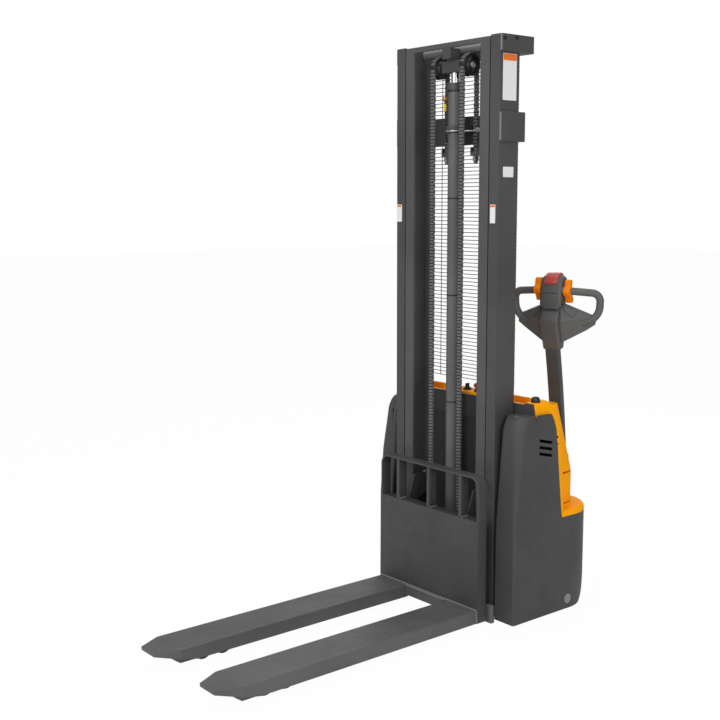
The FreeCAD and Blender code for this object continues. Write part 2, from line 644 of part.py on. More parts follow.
# Cylinder strap: a ring round the tube with arms to the middle tie
strap_low = "mid_tie_bottom + 45"
strap_ring = cut("strap_ring",
                 joined("strap_outside", [
                     round_bar("strap_collar", "z", "cylinder_radius + 8", ("0", "mast_mid", strap_low), "24"),
                     block("strap_arm", (("-30", "30"), ("mast_mid", "mast_back + mid_tie_depth - tie_wall"),
                                         (strap_low, "mid_tie_bottom + 69")))]),
                 round_bar("strap_hole", "z", "cylinder_radius + 0.3", ("0", "mast_mid", "mid_tie_bottom"), "200"))
strap_ring.Label = "cylinder_strap"

# Mesh guard behind the mast: horizontal wires between upright wires, welded in one plane
def mesh_guard():
    """A grid: one plate of wire thickness with a window between each two wires."""
    wire, step = size("mesh_wire"), size("mesh_step")
    low, high = size("mesh_low"), size("overall_height") - size("mesh_drop")
    back = size("mast_back") + size("mid_tie_depth")
    post = size("mast_half") + size("tie_wall") - 2
    rows = int((high - low) / step)
    plate = Part.makeBox(2 * post, wire, rows * step + wire, Vector(-post, back, low))
    windows = [Part.makeBox(2 * post - 2 * wire, 3 * wire, step - wire,
                            Vector(-post + wire, back - wire, low + row * step + wire)) for row in range(rows)]
    return plate.cut(windows)


mesh = solid("mesh_guard", mesh_guard())

# Chassis: mast foot beam, side gussets and the plate over the wheels
foot_beam = block("foot_beam", (("-mast_half", "mast_half"), ("mast_y", "mast_back"), ("40", "mast_foot")))


def corner_edges(start, middle, end, smooth):
    """A rounded corner as an arc, or as two straight edges where the corner is out of sight."""
    if smooth:
        return [Part.Arc(start, middle, end).toShape()]
    return [Part.makeLine(start, middle), Part.makeLine(middle, end)]


def plan_outline(inset, height, tuck=0.0):
    """The low body's plan at a height: straight front, rounded rear corners, moved in by an inset."""
    side = size("side_x") - inset
    rear = size("rear_y") - inset - tuck
    front = size("mast_back") + 1
    radius = size("skirt_corner") - inset - tuck / 2
    lean = radius * math.sqrt(0.5)
    corner_x, corner_y = side - radius, rear - radius
    right = corner_edges(Vector(side, corner_y, height), Vector(corner_x + lean, corner_y + lean, height),
                         Vector(corner_x, rear, height), True)
    left = corner_edges(Vector(-corner_x, rear, height), Vector(-corner_x - lean, corner_y + lean, height),
                        Vector(-side, corner_y, height), True)
    return Part.Wire([
        Part.makeLine(Vector(-side, front, height), Vector(side, front, height)),
        Part.makeLine(Vector(side, front, height), Vector(side, corner_y, height)), *right,
        Part.makeLine(Vector(corner_x, rear, height), Vector(-corner_x, rear, height)), *left,
        Part.makeLine(Vector(-side, corner_y, height), Vector(-side, front, height)),
    ])


def low_body(inset, low, high):
    """The low body as a solid: upright sides whose rear tucks in towards the foot."""
    foot, reach, tuck = size("skirt_bottom"), size("skirt_tuck_height"), size("skirt_tuck")
    # Share of the tucked height, share of the tuck
    bend = ((1.0, 0.0), (0.5, 0.16), (0.15, 0.55), (0.0, 1.0))
    sections = [plan_outline(inset, high)]
    sections += [plan_outline(inset, foot + reach * share, tuck * part) for share, part in bend]
    if low < foot:
        sections.append(plan_outline(inset, low, tuck * 1.3))
    return Part.makeLoft(sections, True, True)


def chassis_plate():
    """The plate over the wheels, with the hole that the drive unit turns in."""
    slab = Part.Face(plan_outline(size("panel") + 0.3, size("floor_plate"))).extrude(Vector(0, 0, size("plate")))
    hole = Part.makeCylinder(128, 60, Vector(size("steer_x"), size("steer_y"), size("floor_plate") - 20))
    front = Part.makeBox(900, 60, 60, Vector(-450, size("mast_back") - 30, size("floor_plate") - 20))
    return slab.cut([hole, front])


gussets = [block("gusset_" + side, ((low, high), ("mast_back", "mast_back + 90"), ("60", "floor_plate")))
           for side, low, high in (("left", "-mast_half", "-mast_half + 12"), ("right", "mast_half - 12", "mast_half"))]
battery_feet = [block("battery_foot_" + side, ((low, high), ("heel_y + 206", "heel_y + 268"),
                                               ("floor_top", "floor_top + 20")))
                for side, low, high in (("left", "-250", "-220"), ("right", "220", "250"))]
base_frame = joined("base_frame", [foot_beam, solid("chassis_plate", chassis_plate())] + gussets
                    + battery_feet
                    + [block("plate_front", (("-mast_half", "mast_half"), ("mast_back", "mast_back + 40"),
                                             ("floor_plate", "floor_top")))])


# Support legs: channels open underneath, with the load roller axles across them
def leg(side, sign):
    """One support leg."""
    outer = "leg_width / 2"
    inner = "leg_width / 2 - leg_plate"
    body = pad("leg_" + side, "YZ_Plane",
               (("mast_y", "leg_bottom"), ("mast_y", "leg_top"), ("leg_tip + 20", "leg_top"),
                ("leg_tip", "leg_top - 14"), ("leg_tip", "leg_bottom + 18"), ("leg_tip + 26", "leg_bottom")),
               "leg_width", both_ways=True)
    add_pocket(body, "XY_Plane",
               (("-(%s)" % inner, "mast_y - 60"), (inner, "mast_y - 60"), (inner, "leg_tip + 40"),
                ("-(%s)" % inner, "leg_tip + 40")),
               "leg_top - leg_plate", backwards=True)
    first = "leg_tip + roller_setback"
    window = "load_roller_width / 2 + 6"
    add_pocket(body, "XY_Plane",
               (("-(%s)" % window, first + " - load_roller - 8"), (window, first + " - load_roller - 8"),
                (window, first + " + roller_pitch + load_roller + 8"),
                ("-(%s)" % window, first + " + roller_pitch + load_roller + 8")),
               "leg_top + 1", backwards=True)
    axles = [round_bar("axle_%s_%s" % (side, place), "x", "load_axle",
                       ("-(%s)" % inner, axle_y, "load_roller"), "2 * (%s)" % inner)
             for place, axle_y in (("front", first), ("rear", first + " + roller_pitch"))]
    whole = joined("leg_with_axles_" + side, [body] + axles)
    return put(whole, "%s * fork_x" % sign)


support_legs = group("support_legs", [leg("left", "-1"), leg("right", "1")])

load_rollers = []
for side, sign in (("left", "-1"), ("right", "1")):
    for place, axle_y in (("front", "leg_tip + roller_setback"), ("rear", "leg_tip + roller_setback + roller_pitch")):
        name = "load_roller_%s_%s" % (side, place)
        start = "%s * fork_x - load_roller_width / 2" % sign
        tread = round_bar(name + "_tread", "x", "load_roller", (start, axle_y, "load_roller"), "load_roller_width")
        hole = round_bar(name + "_bore", "x", "load_axle + running_gap", (start + " - 1", axle_y, "load_roller"),
                         "load_roller_width + 2")
        load_rollers.append(cut(name, tread, hole))


# Body panels: each side panel is one moulding with the wing, its front face and the rear corner
def vent_slots(depth, outer):
    """Three rounded slots through a wall, sloping down to the rear."""
    length, height = size("vent_length"), size("vent_height")
    slots = []
    for number in range(3):
        bar = Part.makeBox(depth, length - height, height, Vector(0, height / 2, -height / 2))
        ends = [Part.makeCylinder(height / 2, depth, Vector(0, y, 0), Vector(1, 0, 0))
                for y in (height / 2, length - height / 2)]
        slot = bar.fuse(ends)
        slot.rotate(Vector(), Vector(1, 0, 0), -size("vent_fall"))
        slot.translate(Vector(outer - depth, size("heel_y") + size("vent_start"),
                              size("vent_top") - number * size("vent_pitch")))
        slots.append(slot)
    return slots


def wing_front_form(inset, x_inner, low):
    """The wing in front of the dash, a block with a roof and rounded outer edges."""
    front, top = size("heel_y") + size("wing_front") + inset, size("wing_top") - inset
    outer, end = size("side_x") - inset, size("heel_y") + size("wing_joint")
    lean = front + size("wing_lean")
    points = [Vector(0, y, z) for y, z in (
        (front, low), (front, size("wing_kink")), (lean, size("wing_top") - size("wing_shoulder")),
        (lean + size("wing_nose"), top), (end, top - size("wing_dip")), (end, low))]
    form = prism(points, Vector(x_inner, 0, 0), Vector(outer - x_inner, 0, 0))
    soften = bevelled if inset else filleted
    form = soften(form, size("wing_corner") - inset / 2,
                  lambda edge, middle: along(edge, Vector(1, 0, 0)) and abs(middle.z - top) < 1)
    return soften(form, size("wing_round") - inset,
                  lambda edge, middle: abs(middle.x - outer) < 0.01 and middle.z > low + 1
                  and middle.y < end - 1)


def wing_rear_form(inset, x_inner, low, rise=0.0):
    """The wing beside the hood, a block with upright walls; a rise opens its top."""
    outer, start = size("side_x") - inset, size("heel_y") + size("wing_joint")
    end, top = size("heel_y") + size("wing_reach"), size("wing_top") - size("wing_dip")
    points = [Vector(0, y, z) for y, z in (
        (start, low), (start, top + rise), (end - 46, top - size("wing_fall") + rise),
        (end - 15, top - size("wing_fall") - 61 + rise), (end, size("skirt_top") + rise), (end, low))]
    form = prism(points, Vector(x_inner, 0, 0), Vector(outer - x_inner, 0, 0))
    return filleted(form, size("wing_corner"),
                    lambda edge, middle: along(edge, Vector(1, 0, 0)) and middle.z > top + rise - 30
                    and middle.y > start + 1)


def skirt_form(inset, x_inner, low, high):
    """The right-hand part of the low body as a solid."""
    behind = size("heel_y") + size("wing_reach") - 40 - 2 * inset
    room = Part.makeBox(500, 900, 900, Vector(x_inner, behind, -100))
    return low_body(inset, low, high).common(room)


def side_panel():
    """The right-hand panel: the wing and the skirt less their hollow, with the vent slots."""
    low, wall, top = size("skirt_bottom"), size("panel"), size("skirt_top")
    wing_side = size("mast_half") + size("tie_wall") + 10
    skirt_side = size("steer_x")
    outside = wing_front_form(0, wing_side, low).fuse([
        wing_rear_form(0, wing_side, low), skirt_form(0, skirt_side, low, top)])
    rear_room = Part.makeBox(3 * wall, size("wing_reach"), 900,
                             Vector(wing_side - 20, size("heel_y") + size("wing_joint") + wall, low - 20))
    shell = outside.cut(wing_front_form(wall, wing_side - 20, low - 20))
    shell = shell.cut(wing_rear_form(wall, wing_side - 20, low - 20, 80)).cut(rear_room)
    shell = shell.cut(skirt_form(wall, skirt_side - 20, low - 20, top + 20))
    return shell.cut(vent_slots(3 * wall, size("side_x") + wall))


side_panel_right = solid("side_panel_right", side_panel())
side_panel_left = mirrored("side_panel_left", side_panel_right)


def rear_wall():
    """The rear of the skirt between the two side panels."""
    low, wall = size("skirt_bottom"), size("panel")
    shell = low_body(0, low, size("skirt_top")).cut(low_body(wall, low - 20, size("skirt_top") + 20))
    behind = size("steer_y")
    return shell.common(Part.makeBox(2 * size("steer_x"), 400, 900, Vector(-size("steer_x"), behind, 0)))


rear_panel = solid("rear_panel", rear_wall())


# Orange deck on the low body
def deck():
    """A plate with a rounded edge over the low rear body, with the turret's ring and hole."""
    low, top = size("skirt_top"), size("deck_top")
    plate = Part.Face(plan_outline(0, low)).extrude(Vector(0, 0, top - low))
    plate = filleted(plate, size("deck_round"),
                     lambda edge, middle: abs(middle.z - top) < 0.01 and middle.y > size("mast_back") + 2)
    axis = Vector(size("steer_x"), size("steer_y"), 0)
    hole = Part.makeCylinder(70, 100, axis + Vector(0, 0, low - 20))
    ring = Part.makeCone(size("turret_radius") + 5, size("turret_radius") + 2, 8, axis + Vector(0, 0, top))
    front_edge = size("heel_y") + size("wing_reach") + 1.5
    front = Part.makeBox(900, 300, 60, Vector(-450, front_edge - 300, low - 20))
    return plate.fuse(ring).cut([hole, front])


deck_cover = solid("deck_cover", deck())


# Orange hood: a shell over the battery with a bulge round the steering axis and a tray in its top
def hood_section(height, half_width, front, rear, corner, smooth):
    """A plan section with two rounded rear corners."""
    lean = corner * math.sqrt(0.5)
    x, y = half_width - corner, rear - corner
    right = corner_edges(Vector(half_width, y, height), Vector(x + lean, y + lean, height),
                         Vector(x, rear, height), smooth)
    left = corner_edges(Vector(-x, rear, height), Vector(-x - lean, y + lean, height),
                        Vector(-half_width, y, height), smooth)
    return Part.Wire([
        Part.makeLine(Vector(-half_width, front, height), Vector(half_width, front, height)),
        Part.makeLine(Vector(half_width, front, height), Vector(half_width, y, height)), *right,
        Part.makeLine(Vector(x, rear, height), Vector(-x, rear, height)), *left,
        Part.makeLine(Vector(-half_width, y, height), Vector(-half_width, front, height)),
    ])


def tray_form(grow, top, side):
    """One recess in the hood's top: a box with rounded edges, right (1) or left (-1)."""
    inner, outer = size("tray_inner") - grow, size("tray_outer") + grow
    front, back = size("heel_y") + size("tray_front") - grow, size("heel_y") + size("tray_back") + grow
    depth = size("tray_depth") + grow
    box = Part.makeBox(outer - inner, back - front, depth + 20,
                       Vector(inner if side > 0 else -outer, front, top - depth))
    if grow:
        return box
    return filleted(box, 8, lambda edge, middle: along(edge, Vector(0, 0, 1)))


def lip_form(top, side):
    """The cut that lowers the lip in front of a recess."""
    inner, outer = size("tray_inner"), size("tray_outer")
    front = size("heel_y") + size("dash_reach")
    return Part.makeBox(outer - inner, 20, 30,
                        Vector(inner if side > 0 else -outer, front - 1, top - size("tray_lip")))


def hood():
    """The hood's shell, cut round the turret."""
    heel, wall, reach = size("heel_y"), size("hood_wall"), size("hood_reach")
    half_width = size("side_x") - size("panel") - 0.3
    foot, top = size("deck_top") + 0.5, size("hood_top")
    front = heel + size("dash_reach")
    # Height, how far the rear face leans forward there, share of the sides' lean
    levels = ((foot, 0, 0.0), (top - 96, 27, 0.0), (top - 30, 55, 0.6), (top, 85, 1.0))

    def loft(inset, lowest):
        sections = []
        for height, lean, share in levels:
            level = lowest if height == foot else height - (inset if height == top else 0)
            sections.append(hood_section(level, half_width - inset - share * size("hood_narrow"), front + inset,
                                         heel + reach - lean - inset, size("hood_corner") - inset,
                                         inset == 0))
        return Part.makeLoft(sections, True, True)

    axis = Vector(size("steer_x"), size("steer_y"), 0)
    bulge_foot, bulge_top = size("turret_top") + 8, size("wing_top") - 7
    radius, tip = size("turret_radius") - 1, size("bulge_top_radius")
    bulge = Part.makeCone(radius, tip, bulge_top - bulge_foot, axis + Vector(0, 0, bulge_foot))
    bulge_room = Part.makeCone(radius - wall, tip - wall, bulge_top - bulge_foot - 2 * wall,
                               axis + Vector(0, 0, bulge_foot + wall))
    outside = filleted(loft(0, foot), size("hood_round"), lambda edge, middle: abs(middle.z - top) < 0.01)
    tray_walls = [tray_form(wall, top, side).common(loft(0, foot)) for side in (-1, 1)]
    inside = loft(wall, foot - 5).cut(tray_walls)
    turret_room = Part.makeCylinder(size("turret_radius") + size("side_gap"), bulge_foot - foot + 5,
                                    axis + Vector(0, 0, foot - 5))
    shell = outside.cut(inside).fuse(bulge).cut(bulge_room).cut(turret_room)
    for side in (-1, 1):
        shell = shell.cut([tray_form(0, top, side), lip_form(top, side)])
    slots = vent_slots(5 * wall, size("side_x"))
    return shell.cut(slots).cut([slot.mirror(Vector(), Vector(1, 0, 0)) for slot in slots])


hood_shell = solid("hood", hood())

# Dash panel across the hood's front, lower in front of the recesses
dash_low, dash_high, lip = "hood_top - 95", "hood_top - 1", "hood_top - tray_lip"
low_half, high_half = "side_x - panel - 2", "side_x - panel - 2 - hood_narrow"
dash_panel = pad("dash_panel", "XZ_Plane",
                 (("-(%s)" % low_half, dash_low), (low_half, dash_low), (high_half, dash_high),
                  ("tray_outer + 4", dash_high), ("tray_outer", lip), ("-tray_outer", lip),
                  ("-tray_outer - 4", dash_high), ("-(%s)" % high_half, dash_high)),
                 "8", offset="0.3 - heel_y - dash_reach")
battery = block("battery", (("-320", "320"), ("heel_y + 206", "heel_y + 306"), ("floor_top + 20", "floor_top + 560")))


def turned(profile, x, back, height):
    """A knob turned from a profile of radii and heights."""
    points = [Vector(0, 0, profile[0][1])] + [Vector(r, 0, z) for r, z in profile] + [Vector(0, 0, profile[-1][1])]
    knob = Part.Face(Part.makePolygon(points + points[:1])).revolve(Vector(), Vector(0, 0, 1), 360)
    knob.translate(Vector(x, size("heel_y") + back, height))
    return knob


emergency_stop = solid("emergency_stop", turned(((14, 0), (14, 14), (21, 14), (21, 27), (12, 35)),
                                                35, 246, size("hood_top")))
KNOB_PROFILE = ((17, 0), (17, 12), (9, 20))
control_knobs = solid("control_knobs", Part.makeCompound([turned(KNOB_PROFILE, x, back, size("hood_top"))
                                                          for x, back in ((352, 232), (-30, 246))]))


# Steering: turret, drive unit and drive wheel
def turret_ear(side, low, high):
    """One ear of the clevis that holds the tiller's tilt pin."""
    return joined("turret_ear_" + side, [
        block("ear_plate_" + side, ((low, high), ("turret_radius - 20", "tiller_offset + 20"),
                                    ("turret_top - 60", "turret_top - 2"))),
        block("ear_post_" + side, ((low, high), ("tiller_offset - 20", "tiller_offset + 20"),
                                   ("turret_top - 60", "tiller_pivot"))),
        round_bar("ear_eye_" + side, "x", "20", (low, "tiller_offset", "tiller_pivot"),
                  "(%s) - (%s)" % (high, low))])


turret = joined("turret", [
    round_bar("turret_column", "z", "turret_radius", ("0", "0", "turret_foot"), "turret_top - turret_foot"),
    round_bar("turret_neck", "z", "50", ("0", "0", "deck_top - 40"), "turret_foot - deck_top + 40"),
    turret_ear("left", "-34", "-20.5"), turret_ear("right", "20.5", "34"),
    round_bar("tilt_pin", "x", "8", ("-34", "tiller_offset", "tiller_pivot"), "68")])
drive_unit = joined("drive_unit", [
    round_bar("slew_flange", "z", "145", ("0", "0", "floor_top + 0.3"), "14"),
    round_bar("motor", "z", "78", ("0", "0", "floor_top + 14"), "deck_top - 40 - floor_top - 14"),
    block("gear_case", (("42.5", "88"), ("-62", "62"), ("60", "floor_top + 1"))),
    round_bar("drive_axle", "x", "22", ("-30", "0", "drive_wheel"), "80")])
drive_wheel = cut("drive_wheel",
                  round_bar("drive_tread", "x", "drive_wheel", ("-drive_wheel_width / 2", "0", "drive_wheel"),
                            "drive_wheel_width"),
                  round_bar("drive_bore", "x", "22 + running_gap", ("-60", "0", "drive_wheel"), "120"))

# Tiller, in the steering frame: +Y points away from the steering axis to the tilt pin
def arm_form():
    """The arm: a flat bar with rounded long edges that bows back between its ends."""
    low, high, half_depth = 45, size("collar_height"), size("arm_depth") / 2
    middle, bow, half = (low + high) / 2, size("arm_bow"), size("arm_width") / 2
    front = Part.Arc(Vector(-half, -half_depth, low), Vector(-half, bow - half_depth, middle),
                     Vector(-half, -half_depth, high)).toShape()
    back = Part.Arc(Vector(-half, half_depth, high), Vector(-half, bow + half_depth, middle),
                    Vector(-half, half_depth, low)).toShape()
    top = Part.makeLine(Vector(-half, -half_depth, high), Vector(-half, half_depth, high))
    foot = Part.makeLine(Vector(-half, half_depth, low), Vector(-half, -half_depth, low))
    bar = Part.Face(Part.Wire([front, top, back, foot])).extrude(Vector(2 * half, 0, 0))
    return filleted(bar, size("arm_depth") / 4,
                    lambda edge, point: abs(abs(point.x) - half) < 0.01 and abs(point.z - middle) < 1)


arm_foot = joined("arm_foot", [
    block("arm_tongue", (("-20", "20"), ("-arm_depth / 2", "arm_depth / 2"), ("0", "46"))),
    round_bar("arm_eye", "x", "arm_depth / 2", ("-20", "0", "0"), "40")])
tiller_arm = cut("tiller_arm", joined("arm_whole", [solid("arm_bar", arm_form()), arm_foot]),
                 round_bar("arm_bore", "x", "8 + running_gap", ("-30", "0", "0"), "60"))

# Outlines of the head seen from the side: back from the arm's middle, above the head's foot
CAP_OUTLINE = ((-8, 168), (0, 205), (10, 235), (24, 267), (42, 287), (62, 291), (77, 280), (80, 255), (72, 200),
               (56, 162), (4, 158))
BODY_OUTLINE = ((-16, 0), (-22, 29), (-31, 90), (-34, 128), (-14, 154), (2, 162), (50, 170), (44, 60), (22, 0))
BUTTON_OUTLINE = ((17, 264), (26, 284), (42, 297), (62, 301), (80, 294), (84, 276), (60, 270), (30, 258))

# Sections of the console's wings at three distances from the middle, given the same way
WING_SECTIONS = ((40, ((2, 26), (-6, 116), (20, 176), (50, 176), (40, 26))),
                 (131, ((40, 71), (43, 121), (47, 133), (68, 133), (60, 71))),
                 (160, ((48, 90), (50, 112), (54, 121), (70, 121), (64, 90))))

# Corners of the right-hand loop's middle line (across, back from the arm's middle, above the head's
# foot) with the length that each round takes off
LOOP_LINE = ((30, 25, 236, 0), (180, 80, 211, 32), (176, 64, 119, 43), (112, 45, 96, 0))


def head_point(x, y, z):
    """A point of the tiller head."""
    return Vector(x, y, size("collar_height") + z)


def side_prism(outline_points, half):
    """An outline seen from the side, as deep as twice a half width."""
    return prism([head_point(0, y, z) for y, z in outline_points], Vector(-half, 0, 0), Vector(2 * half, 0, 0))


def console():
    """The console's two wings: sections spread in a V and swept back, joined by flat faces."""
    stations = [(-x, points) for x, points in reversed(WING_SECTIONS)] + list(WING_SECTIONS)
    sections = [Part.makePolygon([head_point(x, y, z) for y, z in points + points[:1]]) for x, points in stations]
    return Part.makeLoft(sections, True, True)


def cap_form():
    """The cap that carries the throttle and the red button, bent back towards the driver."""
    half = size("cap_half")
    return filleted(side_prism(CAP_OUTLINE, half), size("cap_round"),
                    lambda edge, middle: abs(abs(middle.x) - half) < 0.01)


def head_form():
    """The tiller's head: the middle that grips the arm, the console's wings and the cap."""
    half, foot = size("head_half"), size("collar_height")
    body = filleted(side_prism(BODY_OUTLINE, half), size("body_round"),
                    lambda edge, middle: abs(abs(middle.x) - half) < 0.01 and middle.y < 0 and middle.z > foot + 1)
    return console().fuse([body, cap_form()])


def hand_loop():
    """The right-hand loop: a round bar out of the cap, round two bends and back into the console's wing."""
    points = [head_point(*corner[:3]) for corner in LOOP_LINE]
    edges, reached = [], points[0]
    for before, bend, after, (x, y, z, taken) in zip(points, points[1:], points[2:], LOOP_LINE[1:]):
        coming, leaving = (bend - before).normalize(), (after - bend).normalize()
        inward = (leaving - coming).normalize()
        half_turn = coming.getAngle(leaving) / 2
        radius = taken / math.tan(half_turn)
        start, end = bend - coming * taken, bend + leaving * taken
        middle = bend + inward * (radius / math.cos(half_turn) - radius)
        edges += [Part.makeLine(reached, start), Part.Arc(start, middle, end).toShape()]
        reached = end
    edges.append(Part.makeLine(reached, points[-1]))
    ring = Part.Circle(points[0], points[1] - points[0], size("loop_bar"))
    return Part.Wire(edges).makePipe(Part.Face(Part.Wire(ring.toShape())))


def throttle_wing():
    """The right-hand throttle wing: a disc with four thumb hollows, bored for the loop's bar."""
    radius, width = size("throttle_radius"), size("throttle_width")
    centre = head_point(size("cap_half") + 0.4, size("throttle_back"), size("throttle_level"))
    across = Vector(1, 0, 0)
    disc = Part.makeCylinder(radius, width, centre, across)
    hollows = [Part.makeCylinder(size("throttle_hollow"), 3 * width,
                                 centre + Vector(-width, math.cos(angle) * (radius + 9),
                                                 math.sin(angle) * (radius + 9)), across)
               for angle in [math.radians(45 + 90 * number) for number in range(4)]]
    start, end = head_point(*LOOP_LINE[0][:3]), head_point(*LOOP_LINE[1][:3])
    bore = Part.makeCylinder(size("loop_bar") + 0.9, 2 * (end - start).Length, start + (start - end), end - start)
    return disc.cut(hollows + [bore])


def red_button():
    """The red button: a rounded block seated over the cap's top front edge."""
    form = side_prism(BUTTON_OUTLINE, size("button_half"))
    return bevelled(form, size("button_round"), lambda edge, middle: True).cut(cap_form())


def both_sides(shape):
    """A shape and its mirror image on the other side of the tiller."""
    return Part.makeCompound([shape.mirror(Vector(), Vector(1, 0, 0)), shape])


head = head_form()
tiller_head = solid("tiller_head", head)
hand_loops = solid("hand_loops", both_sides(hand_loop().cut(head)))
throttle_wings = solid("throttle_wings", both_sides(throttle_wing()))
belly_button = solid("belly_button", red_button())

# Castor: swivel plate, yoke and twin wheels
castor_yoke = joined("castor_yoke", [
    round_bar("castor_plate", "z", "60", ("0", "0", "floor_plate - 10.3"), "10"),
    block("castor_cheek_left", (("-34", "-28"), ("-30", "castor_trail + 20"), ("castor_wheel - 18", "floor_plate - 10.3"))),
    block("castor_cheek_right", (("28", "34"), ("-30", "castor_trail + 20"), ("castor_wheel - 18", "floor_plate - 10.3"))),
    round_bar("castor_axle", "x", "8", ("-34", "castor_trail", "castor_wheel"), "68")])
castor_wheel = cut("castor_wheel",
                   round_bar("castor_tread", "x", "castor_wheel", ("-22", "castor_trail", "castor_wheel"), "44"),
                   round_bar("castor_bore", "x", "8 + running_gap", ("-30", "castor_trail", "castor_wheel"), "60"))

doc.recompute()


def set_in_place(thing, x, y, z, turn=0.0, lean=0.0):
    """Place a piece of the steering gear: lean about X, then turn about Z."""
    spin = Rotation(Vector(0, 0, 1), turn).multiply(Rotation(Vector(1, 0, 0), lean))
    thing.Placement = FreeCAD.Placement(Vector(x, y, z), spin)


turn = size("tiller_turn")
for piece in (turret, drive_unit, drive_wheel):
    set_in_place(piece, size("steer_x"), size("steer_y"), 0, turn)
direction = math.radians(90 + turn)
pivot_x = size("steer_x") + size("tiller_offset") * math.cos(direction)
pivot_y = size("steer_y") + size("tiller_offset") * math.sin(direction)
for piece in (tiller_arm, tiller_head, hand_loops, throttle_wings, belly_button):
    set_in_place(piece, pivot_x, pivot_y, size("tiller_pivot"), turn, size("tiller_lean"))
for piece in (castor_yoke, castor_wheel):
    set_in_place(piece, -size("steer_x"), size("steer_y"), 0)

# Every sub-part by the name of its file
NODES = [fork_left, fork_right, carriage_plate, heel_bar, guard, carriage_rollers, outer_mast, inner_mast,
         mast_rollers, lift_cylinder, crosshead, piston_rod, chain_pulleys, front_chains, rear_chains,
         chain_wraps, chain_anchors, strap_ring, mesh, base_frame, support_legs] + load_rollers + [
             side_panel_left, side_panel_right, rear_panel, deck_cover, hood_shell, dash_panel, battery,
             emergency_stop, control_knobs, turret, drive_unit, drive_wheel, tiller_arm, tiller_head,
             hand_loops, throttle_wings, belly_button, castor_yoke, castor_wheel]

doc.recompute()
for thing in doc.Objects:
    for state in thing.State:
        if state in ("Invalid", "Error"):
            raise RuntimeError("%s failed: %s" % (thing.Name, thing.State))
for thing in NODES:
    shape = thing.Shape
    if shape.isNull() or not shape.isValid():
        raise RuntimeError("%s has no valid shape" % thing.Label)
# The origin lies on the floor under the middle of the box that the truck and its turned tiller fill
whole = FreeCAD.BoundBox()
for thing in NODES:
    whole.add(thing.Shape.optimalBoundingBox(False))
shift = Vector(-round(whole.Center.x, 1), -round(whole.Center.y, 1), 0)
print("shift %.1f %.1f" % (shift.x, shift.y))
for thing in NODES:
    shape = thing.Shape.copy()
    shape.translate(shift)
    shape.exportStep("parts/%s.step" % thing.Label)
    box = shape.BoundBox
    print("%-26s %2d solids %8.1f cm3  x %7.1f %7.1f  y %7.1f %7.1f  z %7.1f %7.1f" % (
        thing.Label, len(shape.Solids), shape.Volume / 1000,
        box.XMin, box.XMax, box.YMin, box.YMax, box.ZMin, box.ZMax))
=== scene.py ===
"""Looks of the electric stacker: finishes, wire mesh, leaf chains, side mouldings, small fittings, tiller
head, wheels and studio.

Every length below is in millimetres in the truck's own frame, unless its name says otherwise: x goes
across from the truck's middle, y goes back from the fork heels' rear faces, z goes up from the floor.
"""
import math

import bpy
import numpy as np
from mathutils import Matrix, Vector


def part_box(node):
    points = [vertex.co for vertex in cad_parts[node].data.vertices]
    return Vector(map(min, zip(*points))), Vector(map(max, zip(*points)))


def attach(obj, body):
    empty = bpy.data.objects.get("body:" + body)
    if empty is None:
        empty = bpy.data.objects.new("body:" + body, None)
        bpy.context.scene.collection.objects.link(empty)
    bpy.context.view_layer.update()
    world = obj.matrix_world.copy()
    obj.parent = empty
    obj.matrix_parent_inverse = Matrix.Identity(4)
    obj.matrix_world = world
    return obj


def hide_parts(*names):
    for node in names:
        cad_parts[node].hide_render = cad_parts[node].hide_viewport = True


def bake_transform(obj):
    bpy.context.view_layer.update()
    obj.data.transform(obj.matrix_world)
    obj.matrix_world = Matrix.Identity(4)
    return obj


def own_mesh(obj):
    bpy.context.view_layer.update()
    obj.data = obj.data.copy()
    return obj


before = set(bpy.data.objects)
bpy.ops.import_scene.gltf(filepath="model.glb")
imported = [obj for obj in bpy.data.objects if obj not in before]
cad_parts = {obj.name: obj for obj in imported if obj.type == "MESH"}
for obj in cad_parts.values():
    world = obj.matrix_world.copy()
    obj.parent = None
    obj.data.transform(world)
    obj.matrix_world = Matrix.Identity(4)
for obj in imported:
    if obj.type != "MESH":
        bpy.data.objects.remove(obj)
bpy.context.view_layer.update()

# The truck's own frame, found from the forks
FORK_LEFT, FORK_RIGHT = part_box("fork_left"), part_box("fork_right")
MIDDLE = (FORK_LEFT[0].x + FORK_RIGHT[1].x) / 2
HEEL = FORK_LEFT[1].y
MM = 0.001
# A direction that no bar runs along: their rings are turned from it
ASKEW = (0.31, 0.17, 0.93)


def place(points):
    """Points in the truck's frame, millimetres, as points in the row frame, metres."""
    return np.asarray(points, float) * MM + np.array([MIDDLE, HEEL, 0.0])


# Forms: vertices, quads and triangles, worked out as whole arrays
def shell(rings):
    """A closed surface through a stack of rings: quads between the rings, a fan over each end."""
    rings = np.asarray(rings, float)
    count, around = rings.shape[:2]
    vertices = np.concatenate([rings.reshape(-1, 3), rings[:1].mean(1), rings[-1:].mean(1)])
    row, column = np.indices((count - 1, around))
    here, ahead = row * around + column, row * around + (column + 1) % around
    quads = np.stack([here, ahead, ahead + around, here + around], -1).reshape(-1, 4)
    step = np.arange(around)
    turn = (step + 1) % around
    last = (count - 1) * around
    foot = np.stack([np.full(around, count * around), turn, step], -1)
    head = np.stack([np.full(around, count * around + 1), last + step, last + turn], -1)
    return outward(vertices, quads, np.concatenate([foot, head]))


def outward(vertices, quads, triangles):
    """A form whose faces point outwards: where the enclosed volume comes out negative, all are turned."""
    split = np.concatenate([quads[:, [0, 1, 2]], quads[:, [0, 2, 3]], triangles])
    a, b, c = (vertices[split[:, i]] for i in range(3))
    if np.sum(a * np.cross(b, c)) < 0:
        quads, triangles = quads[:, ::-1], triangles[:, ::-1]
    return vertices, quads, triangles


